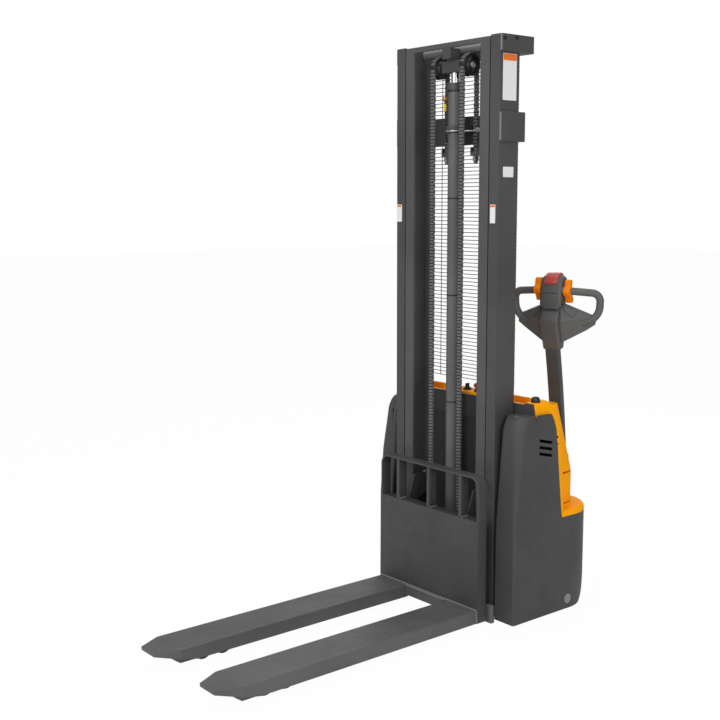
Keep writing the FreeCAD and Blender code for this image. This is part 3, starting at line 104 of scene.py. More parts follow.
def gathered(*forms):
    """Several forms as one: their faces numbered on from each other."""
    starts = np.cumsum([0] + [len(form[0]) for form in forms[:-1]])
    return (np.concatenate([form[0] for form in forms]),
            np.concatenate([form[1] + start for form, start in zip(forms, starts)]),
            np.concatenate([form[2] + start for form, start in zip(forms, starts)]))


def axes(normal, across=(0, 0, 1)):
    """Rows of a right-handed set of axes whose third row is the normal; the first lies nearest `across`."""
    third = np.asarray(normal, float) / np.linalg.norm(normal)
    first = np.asarray(across, float) - np.dot(across, third) * third
    first /= np.linalg.norm(first)
    return np.stack([first, np.cross(third, first), third])


FORWARDS = axes((0, -1, 0), (1, 0, 0))
DOWNWARDS = axes((0, 0, -1), (1, 0, 0))


def moved(form, origin, rows=None):
    """A form turned to a set of axes and carried to an origin."""
    vertices = form[0] if rows is None else form[0] @ rows
    return vertices + np.asarray(origin, float), form[1], form[2]


def sideways(form, way, x, y, z):
    """A form that stands on z = 0, laid over to point right (way 1) or left (way -1) from a spot."""
    return moved(form, (x, y, z), axes((way, 0, 0)))


def mirrored(form):
    """The form of the other side: x turned over, and each face's order with it."""
    return form[0] * (-1, 1, 1), form[1][:, ::-1], form[2][:, ::-1]


def copies(form, origins, rows=None):
    """The same form at many origins, each with its own axes where they are given."""
    vertices, quads, triangles = form
    origins = np.asarray(origins, float)
    if rows is None:
        turned = np.broadcast_to(vertices, (len(origins),) + vertices.shape)
    else:
        turned = vertices @ rows
    starts = (np.arange(len(origins)) * len(vertices))[:, None, None]
    return ((turned + origins[:, None, :]).reshape(-1, 3), (quads + starts).reshape(-1, 4),
            (triangles + starts).reshape(-1, 3))


def circle(sides):
    """Points round the unit circle (cos t, sin t)."""
    t = np.arange(sides) * (2 * math.pi / sides)
    return np.stack([np.cos(t), np.sin(t)], -1)


def lathe(profile, sides):
    """A turned form: each (radius, height) of the profile swept round the third axis."""
    radius, height = np.asarray(profile, float).T
    flat = radius[:, None, None] * circle(sides)[None]
    level = np.broadcast_to(height[:, None, None], flat.shape[:2] + (1,))
    return shell(np.concatenate([flat, level], -1))


def rounded_outline(width, height, radius, steps=5):
    """A rectangle's outline with each corner a quarter circle, counter-clockwise."""
    t = np.linspace(0, math.pi / 2, steps)
    arc = np.stack([np.cos(t), np.sin(t)], -1) * radius
    x, y = width / 2 - radius, height / 2 - radius
    return np.concatenate([np.array([x, y]) + arc, np.array([-x, y]) + arc[:, ::-1] * [-1, 1],
                           np.array([-x, -y]) - arc, np.array([x, -y]) + arc[:, ::-1] * [1, -1]])


def plate(width, height, thickness, radius, bevel=0.6):
    """A flat plate on z = 0: rounded rectangles stacked, the first and last drawn in by the bevel."""
    rings = []
    for inset, level in ((bevel, 0), (0, bevel), (0, thickness - bevel), (bevel, thickness)):
        outline = rounded_outline(width - 2 * inset, height - 2 * inset, max(radius - inset, 0.2))
        rings.append(np.concatenate([outline, np.full((len(outline), 1), level)], -1))
    return shell(rings)


def spline_spans(a, b, c, d, steps):
    """Catmull-Rom spans: from each b to its c, the cubic that also heeds the a before and the d after."""
    t = (np.arange(steps) / steps)[None, :, None]
    a, b, c, d = (points[:, None, :] for points in (a, b, c, d))
    return 0.5 * (2 * b + (c - a) * t + (2 * a - 5 * b + 4 * c - d) * t ** 2 + (3 * b - a - 3 * c + d) * t ** 3)


def smooth_path(points, steps=8):
    """An open spline through the points, the end spans led on straight."""
    p = np.asarray(points, float)
    p = np.concatenate([2 * p[:1] - p[1:2], p, 2 * p[-1:] - p[-2:-1]])
    spans = spline_spans(p[:-3], p[1:-2], p[2:-1], p[3:], steps)
    return np.concatenate([spans.reshape(-1, p.shape[1]), p[-2:-1]])


def closed_curve(points, steps=5):
    """A closed spline through the points."""
    p = np.asarray(points, float)
    return spline_spans(*(np.roll(p, shift, 0) for shift in (1, 0, -1, -2)), steps).reshape(-1, 2)


def rod(path, radius, sides):
    """A bar along a path: at each point a round ring square to the path."""
    path = np.asarray(path, float)
    tangent = np.gradient(path, axis=0)
    tangent /= np.linalg.norm(tangent, axis=1, keepdims=True)
    first = np.cross(tangent, ASKEW)
    first /= np.linalg.norm(first, axis=1, keepdims=True)
    second = np.cross(tangent, first)
    radius = np.broadcast_to(np.asarray(radius, float), (len(path),))[:, None, None]
    ring = circle(sides)
    around = ring[None, :, :1] * first[:, None, :] + ring[None, :, 1:] * second[:, None, :]
    return shell(path[:, None, :] + radius * around)


def bar(start, end, radius, sides=16):
    """A straight round bar between two points, its ends drawn in by a bevel."""
    start, end = np.asarray(start, float), np.asarray(end, float)
    length = np.linalg.norm(end - start)
    bevel = radius * 0.12
    profile = [(radius - bevel, 0), (radius, bevel), (radius, length - bevel), (radius - bevel, length)]
    return moved(lathe(profile, sides), start, axes(end - start, ASKEW))


def hex_bolt(across_flats, head, washer):
    """A hexagon head on a washer, standing on z = 0: six-sided rings with a turned crown."""
    base = lathe([(washer - 0.5, 0), (washer, 0.5), (washer, 1.5), (washer - 0.5, 2)], 18)
    corner = across_flats / math.sqrt(3)
    crown = lathe([(corner, 2), (corner, 2 + head - 1.2), (corner * 0.86, 2 + head)], 6)
    return gathered(base, crown)


def socket_bolt(radius, head):
    """A cylinder head with a hollow for the key: the profile turns down into the middle."""
    return lathe([(radius - 0.4, 0), (radius, 0.5), (radius, head - 1), (radius - 1, head), (radius * 0.55, head),
                  (radius * 0.5, head - 3), (0.2, head - 3)], 18)


def weld_bead(start, end, radius=3.4, ripple=5.5):
    """A weld: a bar whose radius swells and falls in ripples along its run."""
    start, end = np.asarray(start, float), np.asarray(end, float)
    length = np.linalg.norm(end - start)
    t = np.linspace(0, 1, max(6, int(length / ripple * 3)))
    swell = radius * (1 + 0.10 * np.abs(np.sin(math.pi * t * length / ripple)) - 0.05)
    swell[[0, -1]] *= 0.6
    return rod(start + t[:, None] * (end - start), swell, 7)


def piece(name, form, finish, body, replaces=(), hard=38.0):
    """A mesh object from a form, finished, riding on a body; edges sharper than `hard` degrees stay crisp."""
    vertices, quads, triangles = form
    mesh = bpy.data.meshes.new(name)
    mesh.from_pydata(place(vertices).tolist(), [], quads.tolist() + triangles.tolist())
    mesh.shade_smooth()
    mesh.set_sharp_from_angle(angle=math.radians(hard))
    mesh.materials.append(finish)
    thing = bpy.data.objects.new(name, mesh)
    bpy.context.scene.collection.objects.link(thing)
    if body:
        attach(thing, body)
    if replaces:
        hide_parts(*replaces)
    return thing


# Materials
CLOUD_RANGE, GLOSS_RANGE = (0.35, 0.65), (0.3, 0.7)
CLOUD_SCALE, GLOSS_SCALE, MARK_SCALE = 4.0, 22.0, 60.0
GRAIN_DEPTH_M, MARK_DEPTH_M = 0.0004, 0.0002


def shader(name, colour, roughness, metallic=0.0, specular=0.5):
    """A principled material with its fixed values on the shader's own sockets."""
    material = bpy.data.materials.new(name)
    material.use_nodes = True
    tree = material.node_tree
    principled = tree.nodes["Principled BSDF"]
    principled.inputs["Base Color"].default_value = (*colour, 1)
    principled.inputs["Roughness"].default_value = roughness
    principled.inputs["Metallic"].default_value = metallic
    principled.inputs["Specular IOR Level"].default_value = specular
    coordinates = tree.nodes.new("ShaderNodeTexCoord")
    return material, tree, principled, coordinates.outputs["Object"]


def noise(tree, vector, scale, detail, stretch=(1, 1, 1)):
    """Noise over the surface, stretched along an axis by a mapping."""
    mapping = tree.nodes.new("ShaderNodeMapping")
    mapping.inputs["Scale"].default_value = stretch
    tree.links.new(vector, mapping.inputs["Vector"])
    texture = tree.nodes.new("ShaderNodeTexNoise")
    texture.inputs["Scale"].default_value = scale
    texture.inputs["Detail"].default_value = detail
    tree.links.new(mapping.outputs["Vector"], texture.inputs["Vector"])
    return texture.outputs["Fac"]


def ramp(tree, source, low, high):
    """A blend of two colours by a factor."""
    node = tree.nodes.new("ShaderNodeValToRGB")
    for element, position, colour in zip(node.color_ramp.elements, CLOUD_RANGE, (low, high)):
        element.position = position
        element.color = (*colour, 1)
    tree.links.new(source, node.inputs["Fac"])
    return node.outputs["Color"]


def spread(tree, source, low, high):
    """A factor turned into a range of values."""
    node = tree.nodes.new("ShaderNodeMapRange")
    node.inputs["From Min"].default_value, node.inputs["From Max"].default_value = GLOSS_RANGE
    node.inputs["To Min"].default_value = low
    node.inputs["To Max"].default_value = high
    tree.links.new(source, node.inputs["Value"])
    return node.outputs["Result"]


def bumped(tree, principled, height, strength, distance, edge=0.0012):
    """Surface relief from a height, on edges that catch the light as if rounded by `edge` metres."""
    node = tree.nodes.new("ShaderNodeBump")
    node.inputs["Strength"].default_value = strength
    node.inputs["Distance"].default_value = distance
    tree.links.new(height, node.inputs["Height"])
    if edge:
        eased = tree.nodes.new("ShaderNodeBevel")
        eased.samples = 4
        eased.inputs["Radius"].default_value = edge
        tree.links.new(eased.outputs["Normal"], node.inputs["Normal"])
    tree.links.new(node.outputs["Normal"], principled.inputs["Normal"])


def textured_paint(name, colour, variation=0.12, roughness=(0.45, 0.6), grain=900, relief=0.12, edge=0.0012,
                   specular=0.5):
    """Paint or moulding: fine grain, soft cloudy colour and uneven gloss."""
    material, tree, principled, vector = shader(name, colour, sum(roughness) / 2, specular=specular)
    cloud = noise(tree, vector, CLOUD_SCALE, 4.0)
    darker = [c * (1 - variation) for c in colour]
    lighter = [min(1.0, c * (1 + variation)) for c in colour]
    tree.links.new(ramp(tree, cloud, darker, lighter), principled.inputs["Base Color"])
    fine = noise(tree, vector, grain, 2.0)
    gloss = spread(tree, noise(tree, vector, GLOSS_SCALE, 3.0), *roughness)
    tree.links.new(gloss, principled.inputs["Roughness"])
    bumped(tree, principled, fine, relief, GRAIN_DEPTH_M, edge)
    return material


def brushed_metal(name, colour, roughness=(0.25, 0.4), stretch=(1, 1, 30)):
    """Bare metal with fine marks across one axis."""
    material, tree, principled, vector = shader(name, colour, sum(roughness) / 2, metallic=1.0)
    marks = noise(tree, vector, MARK_SCALE, 4.0, stretch)
    tree.links.new(ramp(tree, marks, [c * (1 - 0.1) for c in colour], colour), principled.inputs["Base Color"])
    tree.links.new(spread(tree, marks, *roughness), principled.inputs["Roughness"])
    bumped(tree, principled, marks, 0.05, MARK_DEPTH_M)
    return material


DARK_PAINT = textured_paint("mast_paint", (0.056, 0.056, 0.057), edge=0.004)
CARRIAGE_PAINT = textured_paint("carriage_paint", (0.049, 0.049, 0.050), edge=0.002)
# Painted light: the arm's grey is tinted blue to cancel the orange light the hood bounces onto it
ARM_PAINT_WITH_PAINTED_COOL_LIGHT = textured_paint("arm_paint_with_painted_cool_light", (0.050, 0.060, 0.066), edge=0.003)
INNER_PAINT = textured_paint("inner_stage_paint", (0.072, 0.072, 0.073), edge=0.004)
TUBE_PAINT = textured_paint("cylinder_paint", (0.105, 0.105, 0.106), roughness=(0.35, 0.5), edge=0.001)
# Painted shade: a near-black sheet's colour, standing for the shadow seen between the mast's uprights
PAINTED_SHADE_GREY = textured_paint("painted_shade_sheet", (0.032, 0.032, 0.032), roughness=(0.6, 0.7), edge=0)
FOOT_GREY = textured_paint("foot_paint", (0.15, 0.15, 0.15), edge=0.001)
LEG_PAINT = textured_paint("fork_paint", (0.088, 0.088, 0.090), roughness=(0.4, 0.55), edge=0.002)
# Painted highlight: the welds and the guard's nubs are painted, their grey made lighter than the paint around them
# to stand for light on the beads
WELD_PAINTED_HIGHLIGHT = textured_paint("weld_painted_highlight", (0.17, 0.17, 0.17), roughness=(0.35, 0.5), grain=500, relief=0.3, edge=0)
PANEL_GREY = textured_paint("panel_moulding", (0.047, 0.047, 0.048), roughness=(0.5, 0.62), grain=1400,
                            relief=0.2, edge=0)
ORANGE = textured_paint("hood_orange", (1.0, 0.38, 0.0), variation=0.03, roughness=(0.55, 0.65), relief=0.04,
                        specular=0.08)
THROTTLE_ORANGE = textured_paint("throttle_orange", (0.86, 0.22, 0.0), variation=0.05, roughness=(0.5, 0.6),
                                 relief=0.03, specular=0.15)
GRIP = textured_paint("head_moulding", (0.085, 0.085, 0.083), grain=1800, relief=0.15)
BLACK_PLASTIC = textured_paint("black_moulding", (0.012, 0.012, 0.012), roughness=(0.35, 0.5))
RED = textured_paint("red_button", (0.46, 0.055, 0.05), variation=0.05, roughness=(0.3, 0.4), relief=0.03)
STOP_RED = textured_paint("stop_red", (0.5, 0.02, 0.015), variation=0.05, roughness=(0.25, 0.35), relief=0.03)
TREAD = textured_paint("polyurethane_tread", (0.035, 0.035, 0.036))
CHAIN = textured_paint("oiled_chain", (0.020, 0.020, 0.020), roughness=(0.3, 0.45), edge=0)
# Painted highlight: the pins' light grey stands for the light caught on the chain plates' round ends
CHAIN_PIN_PAINTED_HIGHLIGHT = textured_paint("chain_pins_painted_highlight", (0.12, 0.12, 0.118), roughness=(0.3, 0.4), edge=0)
# Painted shade: near-black with no shine, for the dark inside of the body seen through the vent slots
SLOT_PAINTED_SHADE = textured_paint("slot_painted_shade", (0.003, 0.003, 0.003), roughness=(0.9, 0.95), edge=0, specular=0.0)
PULLEY = textured_paint("pulley_black", (0.010, 0.010, 0.011), roughness=(0.3, 0.45))
PLATE_WHITE = textured_paint("plate_white", (0.80, 0.78, 0.78), variation=0.02, roughness=(0.35, 0.45),
                             relief=0.02, edge=0)
PLATE_ORANGE = textured_paint("plate_orange", (0.85, 0.16, 0.01), variation=0.03, roughness=(0.35, 0.45),
                              relief=0.02, edge=0)
YELLOW = textured_paint("yellow_sleeve", (0.85, 0.62, 0.0), variation=0.04, roughness=(0.4, 0.5), relief=0.05,
                        edge=0)
PLUG_GREY = textured_paint("plug_grey", (0.22, 0.22, 0.22), roughness=(0.4, 0.5), relief=0.05)
STEEL = brushed_metal("bare_steel", (0.56, 0.56, 0.57))
ZINC = brushed_metal("plated_bolt", (0.62, 0.62, 0.60), roughness=(0.28, 0.42), stretch=(1, 1, 1))
BRASS = brushed_metal("brass_fitting", (0.62, 0.38, 0.10), stretch=(1, 1, 1))
DARK_STEEL = brushed_metal("dull_steel", (0.2, 0.2, 0.2), roughness=(0.4, 0.55))
TIE_GREY = textured_paint("tie_bar_paint", (0.20, 0.20, 0.20), roughness=(0.3, 0.42), relief=0.1)
CHROME = brushed_metal("chromed_rod", (0.78, 0.78, 0.79), roughness=(0.08, 0.14))

NODE_FINISH = {
    "outer_mast": DARK_PAINT, "inner_mast": INNER_PAINT, "lift_cylinder": TUBE_PAINT, "crosshead": DARK_PAINT,
    "mesh_guard": DARK_PAINT, "base_frame": DARK_PAINT, "support_legs": LEG_PAINT, "fork_left": LEG_PAINT,
    "fork_right": LEG_PAINT, "carriage_plate": CARRIAGE_PAINT, "heel_bar": LEG_PAINT, "load_guard": DARK_PAINT,
    "side_panel_left": PANEL_GREY, "side_panel_right": PANEL_GREY, "rear_panel": PANEL_GREY,
    "dash_panel": PANEL_GREY, "battery": BLACK_PLASTIC, "deck_cover": ORANGE, "hood": ORANGE, "turret": ORANGE,
    "emergency_stop": STOP_RED, "control_knobs": BLACK_PLASTIC, "rear_chains": CHAIN, "front_chains": CHAIN,
    "chain_wraps": CHAIN, "chain_pulleys": PULLEY, "chain_anchors": DARK_STEEL, "cylinder_strap": DARK_PAINT,
    "mast_rollers": DARK_STEEL, "carriage_rollers": DARK_STEEL, "piston_rod": CHROME, "drive_unit": DARK_STEEL,
    "drive_wheel": TREAD, "castor_yoke": STEEL, "castor_wheel": TREAD, "tiller_arm": ARM_PAINT_WITH_PAINTED_COOL_LIGHT,
    "tiller_head": GRIP, "hand_loops": GRIP, "throttle_wings": THROTTLE_ORANGE, "belly_button": RED,
    "load_roller_left_front": TREAD, "load_roller_left_rear": TREAD, "load_roller_right_front": TREAD,
    "load_roller_right_rear": TREAD,
}
for node_name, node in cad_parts.items():
    node.data.materials.clear()
    node.data.materials.append(NODE_FINISH[node_name])

# Mast: wire mesh
MESH_PITCH, MESH_LOW, MESH_ROWS, MESH_TAIL = 15.0, 931.5, 83, 3
MESH_REACH, MESH_BACK, WIRE_RADIUS, POST_X = 256.0, 215.5, 1.5, (-250, -159, 159, 250)


def wire_mesh():
    """Level wires one pitch apart, welded in front of four upright wires; the ends stand past the outer two."""
    heights = MESH_LOW + MESH_PITCH * np.arange(MESH_ROWS)
    wire = lathe([(WIRE_RADIUS, 0), (WIRE_RADIUS, 2 * MESH_REACH)], 8)
    level = copies(wire, [(-MESH_REACH, MESH_BACK, z) for z in heights], axes((1, 0, 0)))
    post = lathe([(WIRE_RADIUS, 0), (WIRE_RADIUS, heights[-1] - MESH_LOW + 2 * MESH_TAIL)], 8)
    behind = MESH_BACK + 2 * WIRE_RADIUS - 0.3
    return gathered(level, copies(post, [(x, behind, MESH_LOW - MESH_TAIL) for x in POST_X]))


piece("mesh_wires", wire_mesh(), DARK_PAINT, "truck", ("mesh_guard",))

# Leaf chains
PULLEY_X, PULLEY_Y, PULLEY_Z, CHAIN_ARC = 80.0, 131.0, 2150.0, 38.0
FRONT_Y, REAR_Y, FRONT_LOW, REAR_LOW = PULLEY_Y - CHAIN_ARC, PULLEY_Y + CHAIN_ARC, 300, 1827
LINK_PITCH, LINK_HALF_HEIGHT, LINK_HALF_THICKNESS = 12.7, 5.9, 1.75
LINK_LAYERS = ((-3.8, 3.8), (-7.6, 0, 7.6))
WRAP_PINS = 10


def chain_link(layers, pitch):
    """Side plates, waisted between their two round ends."""
    reach, tall = pitch / 2, LINK_HALF_HEIGHT
    edge = np.array([(-reach - tall, 0), (-reach - 2, -tall * 0.95), (0, -tall * 0.74), (reach + 2, -tall * 0.95),
                     (reach + tall, 0), (reach + 2, tall * 0.95), (0, tall * 0.74), (-reach - 2, tall * 0.95)])
    rings = np.stack([np.concatenate([edge, np.full((len(edge), 1), side)], -1)
                      for side in (-LINK_HALF_THICKNESS, LINK_HALF_THICKNESS)])
    return gathered(*[moved(shell(rings), (0, 0, layer)) for layer in layers])


def leaf_chain(pins):
    """Links laid from pin to pin: two plates and three plates by turns, as on a leaf chain."""
    start, run = pins[:-1], np.diff(pins, axis=0)
    length = np.linalg.norm(run, axis=1)
    forward = run / length[:, None]
    across = np.broadcast_to([1.0, 0, 0], forward.shape)
    rows = np.stack([forward, np.cross(across, forward), across], 1)
    middle = start + run / 2
    return gathered(*[copies(chain_link(layers, length.mean()), middle[turn::2], rows[turn::2])
                      for turn, layers in enumerate(LINK_LAYERS)])


def chain_pins_painted_highlight(pins):
    """The riveted pins across a chain, a little proud of the plates so that they show as ribs: painted highlight
    for the light on the plates' round ends.
    """
    pin = lathe([(5.4, 0), (6.3, 0.9), (6.3, 18.3), (5.4, 19.2)], 10)
    return copies(sideways(pin, 1, -9.6, 0, 0), pins)


def pin_line(low, high, y):
    """Pins down a straight run, as near the true pitch as a whole number of links allows."""
    links = round((high - low) / LINK_PITCH)
    z = np.linspace(high, low, links + 1)
    return np.stack([np.zeros_like(z), np.full_like(z, y), z], -1)


def on_both(form, y=0, z=0):
    """The same form in line with the left and the right pulley."""
    return copies(form, [(-PULLEY_X, y, z), (PULLEY_X, y, z)])


def chain_run(links, pin_highlights, pins, body, node):
    """The links and the pins of one run of both chains; the links take the node's place."""
    return (piece(links, on_both(leaf_chain(pins)), CHAIN, body, (node,)),
            piece(pin_highlights, on_both(chain_pins_painted_highlight(pins)), CHAIN_PIN_PAINTED_HIGHLIGHT, body))


arc = np.linspace(math.pi, 0, WRAP_PINS)
wrap_pins = np.stack([np.zeros(WRAP_PINS), PULLEY_Y + CHAIN_ARC * np.cos(arc),
                      PULLEY_Z + CHAIN_ARC * np.sin(arc)], -1)
chain_run("wrapped_chain", "wrapped_pins_painted_highlight", wrap_pins, "inner_stage", "chain_wraps")
for run in chain_run("front_leaf_chains", "front_chain_pins_painted_highlight", pin_line(FRONT_LOW, PULLEY_Z, FRONT_Y),
                     "inner_stage", "front_chains"):
    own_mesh(run)
for run in chain_run("rear_leaf_chains", "rear_chain_pins_painted_highlight", pin_line(REAR_LOW, PULLEY_Z, REAR_Y),
                     None, "rear_chains"):
    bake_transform(run)

# Chain ends: forks with a pin over the lugs, threaded studs with two nuts below
cheek = plate(30, 34, 5, 6)
clevis = gathered(moved(cheek, (-11.5, 0, 0), axes((-1, 0, 0), (0, 1, 0))),
                  moved(cheek, (11.5, 0, 0), axes((1, 0, 0), (0, 1, 0))),
                  bar((-18, 0, 4), (18, 0, 4), 5, 14))
nut = lathe([(12.4, 0), (12.4, 9), (11.2, 10)], 6)
stud = gathered(moved(nut, (0, 0, -10)), moved(nut, (0, 0, -21)), bar((0, 0, -44), (0, 0, 2), 7.5))
wide_nut = lathe([(13, 0), (13, 9), (11.8, 10)], 6)
nut_pair = gathered(wide_nut, moved(wide_nut, (0, 0, -11)))
piece("chain_clevises", on_both(clevis, FRONT_Y, 305), DARK_STEEL, "carriage")
piece("chain_studs", on_both(stud, FRONT_Y, 276), ZINC, "carriage")
piece("anchor_clevises", on_both(clevis, REAR_Y, 1829), DARK_STEEL, "truck")
piece("anchor_nuts", on_both(nut_pair, REAR_Y, 1804), ZINC, "truck")

# Pulleys: hub washer and retaining ring on the axle's ends, a turned web on the pulleys' flanks
hub = lathe([(11, 0), (11.5, 0.6), (11.5, 2.2), (11, 2.8), (8, 2.8), (7.6, 5.2), (6, 6), (3, 6), (2.6, 4.4)], 28)
piece("pulley_hubs", gathered(*[sideways(hub, way, way * 96, PULLEY_Y, PULLEY_Z) for way in (1, -1)]), ZINC,
      "inner_stage")
flank = lathe([(39.5, 0), (40.2, 0.5), (40.2, 1.0), (39.5, 1.4), (33, 1.4), (32.4, 0.8), (32.4, 0.2)], 40)
piece("pulley_flanks", gathered(*[sideways(flank, way, x, PULLEY_Y, PULLEY_Z)
                                  for x, way in ((95, 1), (65, -1), (-65, 1), (-95, -1))]),
      PULLEY, "pulleys")

# Inner stage: round tie bar over the pulleys, welded to both uprights
TIE_REACH, TIE_Y, TIE_Z, TIE_RINGS = 181, 147.0, 2212.0, 15
tie_path = np.stack([np.linspace(-TIE_REACH, TIE_REACH, TIE_RINGS), np.full(TIE_RINGS, TIE_Y),
                     np.full(TIE_RINGS, TIE_Z)], -1)
tie_radius = 13 - 1.6 * (np.abs(np.linspace(-1, 1, TIE_RINGS)) > 0.93)
piece("round_tie_bar", rod(tie_path, tie_radius, 24), TIE_GREY, "inner_stage")
collar = lathe([(15.5, 0), (15.2, 1.5), (13, 4)], 24)
piece("tie_bar_welds", gathered(*[sideways(collar, -side, side * 182, TIE_Y, TIE_Z) for side in (-1, 1)]), WELD_PAINTED_HIGHLIGHT,
      "inner_stage")

# Lift cylinder: rings down the tube, cap over the gland, clamp with its bolt, bleed line
CYLINDER_Y, CLAMP_Z, CLAMP_RADIUS, CLAMP_RINGS = 135.5, 1907.0, 38.4, 30
tube_ring = lathe([(28.2, 0), (29.4, 0.8), (29.4, 4.2), (28.2, 5)], 36)
piece("tube_rings", copies(tube_ring, [(0, CYLINDER_Y, z) for z in (2055, 1648, 1271, 846)]), BLACK_PLASTIC,
      "truck")
gland = lathe([(31.2, 0), (32, 0.8), (32, 24), (30.5, 26.4), (21, 26.8), (19.6, 28.6), (18.2, 28.6)], 40)
piece("gland_cap", moved(gland, (0, CYLINDER_Y, 2062)), DARK_PAINT, "truck")
turn = np.radians(np.linspace(180, 350, CLAMP_RINGS))
band = np.stack([CLAMP_RADIUS * np.cos(turn), CYLINDER_Y + CLAMP_RADIUS * np.sin(turn),
                 np.full(CLAMP_RINGS, CLAMP_Z)], -1)
band = np.concatenate([band, [(60, 146, CLAMP_Z), (112, 150, CLAMP_Z)]])
clamp = gathered(rod(band, 2.4, 10), bar((112, 150, 1909), (112, 206, 1909), 5),
                 moved(hex_bolt(13, 6, 9), (112, 146, 1908), axes((0, -1, 0))))
piece("cylinder_clamp", clamp, ZINC, "truck")
bleed_nut = lathe([(8.6, 0), (9.2, 0.8), (9.2, 9), (8.4, 10)], 6)
bleed_cap = lathe([(8, 0), (8.4, 1), (8.4, 12), (7.4, 14)], 18)
piece("bleed_fitting", gathered(bar((-27, 135, 2034), (-62, 135, 2034), 5), sideways(bleed_nut, -1, -56, 135, 2034),
                                moved(bleed_cap, (-60, 135, 2041), DOWNWARDS)), BRASS, "truck")
sleeve = lathe([(4.6, 0), (5.4, 0.8), (5.4, 28), (4.6, 29)], 20)
piece("bleed_sleeve", moved(sleeve, (-57, 135, 1986)), YELLOW, "truck")
bleed_path = smooth_path([(-58, 135, 2036), (-57, 135, 2015), (-56, 135, 1985), (-53, 136, 1930),
                          (-52, 137, 1885), (-52, 150, 1868), (-52, 180, 1864), (-52, 207, 1864)])
piece("bleed_pipe", rod(bleed_path, 3.2, 14), BLACK_PLASTIC, "truck")

# Outer mast: screws in the top tie, welds where the ties wrap round, blank plates on the uprights
TIE_SIDE, UPRIGHT_SIDE, UPRIGHT_FRONT = 290, 282.0, 84
piece("tie_screws", gathered(*[sideways(socket_bolt(7, 4.5), side, side * TIE_SIDE, y, z)
                               for side in (-1, 1) for y, z in ((98.5, 2224), (161.5, 2229))]),
      BLACK_PLASTIC, "truck")
piece("tie_welds", gathered(*[weld_bead((side * 283.5, 89, low), (side * 283.5, 89, high), 4)
                              for side in (-1, 1) for low, high in ((1860, 1962), (2181, 2237))]),
      WELD_PAINTED_HIGHLIGHT, "truck")


def side_plate(y_low, y_high, z_low, z_high, lift=0.0):
    """A thin plate on the right upright's outer face."""
    sheet = plate(y_high - y_low, z_high - z_low, 0.8, 3, 0.3)
    spot = (UPRIGHT_SIDE + lift, (y_low + y_high) / 2, (z_low + z_high) / 2)
    return moved(sheet, spot, axes((1, 0, 0), (0, 1, 0)))


def flange_plate(x_low, x_high, z_low, z_high):
    """A thin plate on an upright's front flange."""
    sheet = plate(x_high - x_low, z_high - z_low, 0.8, 3, 0.3)
    return moved(sheet, ((x_low + x_high) / 2, UPRIGHT_FRONT, (z_low + z_high) / 2), FORWARDS)


piece("side_plate_white", side_plate(100, 172, 2005, 2172), PLATE_WHITE, "truck")
piece("side_plate_band", side_plate(101.5, 170.5, 2147, 2170.5, 0.5), PLATE_ORANGE, "truck")
piece("side_plate_small", side_plate(107.5, 163, 1727, 1765), PLATE_WHITE, "truck")
piece("flange_plates", gathered(flange_plate(242, 269, 1558, 1627), flange_plate(-281, -252, 1558, 1627)),
      PLATE_WHITE, "truck")
bands = [moved(flange_plate(low, low + 24, 1617, 1625), (0, -0.5, 0)) for low in (243.5, -278.5)]
piece("flange_bands", gathered(*bands), PLATE_ORANGE, "truck")

# Carriage: welds round the fork heels and the guard's feet, the load guard, nubs under it
heel_welds = [weld_bead((-281, -2, 86.5), (-113, -2, 86.5)), weld_bead((-113, -13, 86), (113, -13, 86), 2.6),
              weld_bead((113, -2, 86.5), (281, -2, 86.5)), weld_bead((-112, -1.2, 86.2), (112, -1.2, 86.2), 3)]
heel_welds += [weld_bead((x, -2, 38), (x, -2, 84)) for x in (-281.5, -113.5, 113.5, 281.5)]
piece("heel_welds", gathered(*heel_welds), WELD_PAINTED_HIGHLIGHT, "carriage")
guard_welds = [weld_bead((x, 3, 435.5), (x, 43, 435.5), 2.8) for x in (-188.5, -171.5, -8.5, 8.5, 171.5, 188.5)]
piece("guard_welds", gathered(*guard_welds), WELD_PAINTED_HIGHLIGHT, "carriage")
GUARD_X, GUARD_FOOT, GUARD_SHOULDER, GUARD_CORNER = 279, 434.2, 564, 38


def guard_bar():
    """The flat bar of the load guard: four-sided rings along a line, a quarter circle, a line and back down."""
    turn = np.linspace(0, math.pi / 2, 9)
    rise = np.stack([GUARD_CORNER - GUARD_X - GUARD_CORNER * np.cos(turn),
                     GUARD_SHOULDER + GUARD_CORNER * np.sin(turn)], -1)
    way = np.stack([-np.cos(turn), np.sin(turn)], -1)
    path = np.concatenate([[(-GUARD_X, GUARD_FOOT)], rise, rise[::-1] * (-1, 1), [(GUARD_X, GUARD_FOOT)]])
    outer = np.concatenate([way[:1], way, way[::-1] * (-1, 1), way[:1] * (-1, 1)])
    section = np.array([(-4, 1), (-3, 0), (3, 0), (4, 1), (4, 45), (3, 46), (-3, 46), (-4, 45)])
    flat = path[:, None, :] + section[None, :, :1] * outer[:, None, :]
    depth = np.broadcast_to(section[None, :, 1:], flat.shape[:2] + (1,))
    return shell(np.concatenate([flat[:, :, :1], depth, flat[:, :, 1:]], -1))


posts = [moved(plate(15, 164, 42, 2, 1), (x, 44, 516.2), FORWARDS) for x in (-180, 0, 180)]
piece("guard_frame", gathered(guard_bar(), *posts), DARK_PAINT, "carriage", ("load_guard",))
nub = lathe([(6, 0), (5.4, 2.6), (3.6, 4.6), (1.2, 5.6)], 16)
piece("guard_nubs", gathered(*[moved(nub, (x, 14, 598.3), DOWNWARDS) for x in (-130, 60, 235)]), WELD_PAINTED_HIGHLIGHT,
      "carriage")

# Inner stage: a bolt on each upright, facing forwards
piece("upright_bolts", gathered(*[moved(hex_bolt(13, 6, 10), (x, 177, 512), axes((0, -1, 0)))
                                  for x in (-209, 209)]), ZINC, "inner_stage")

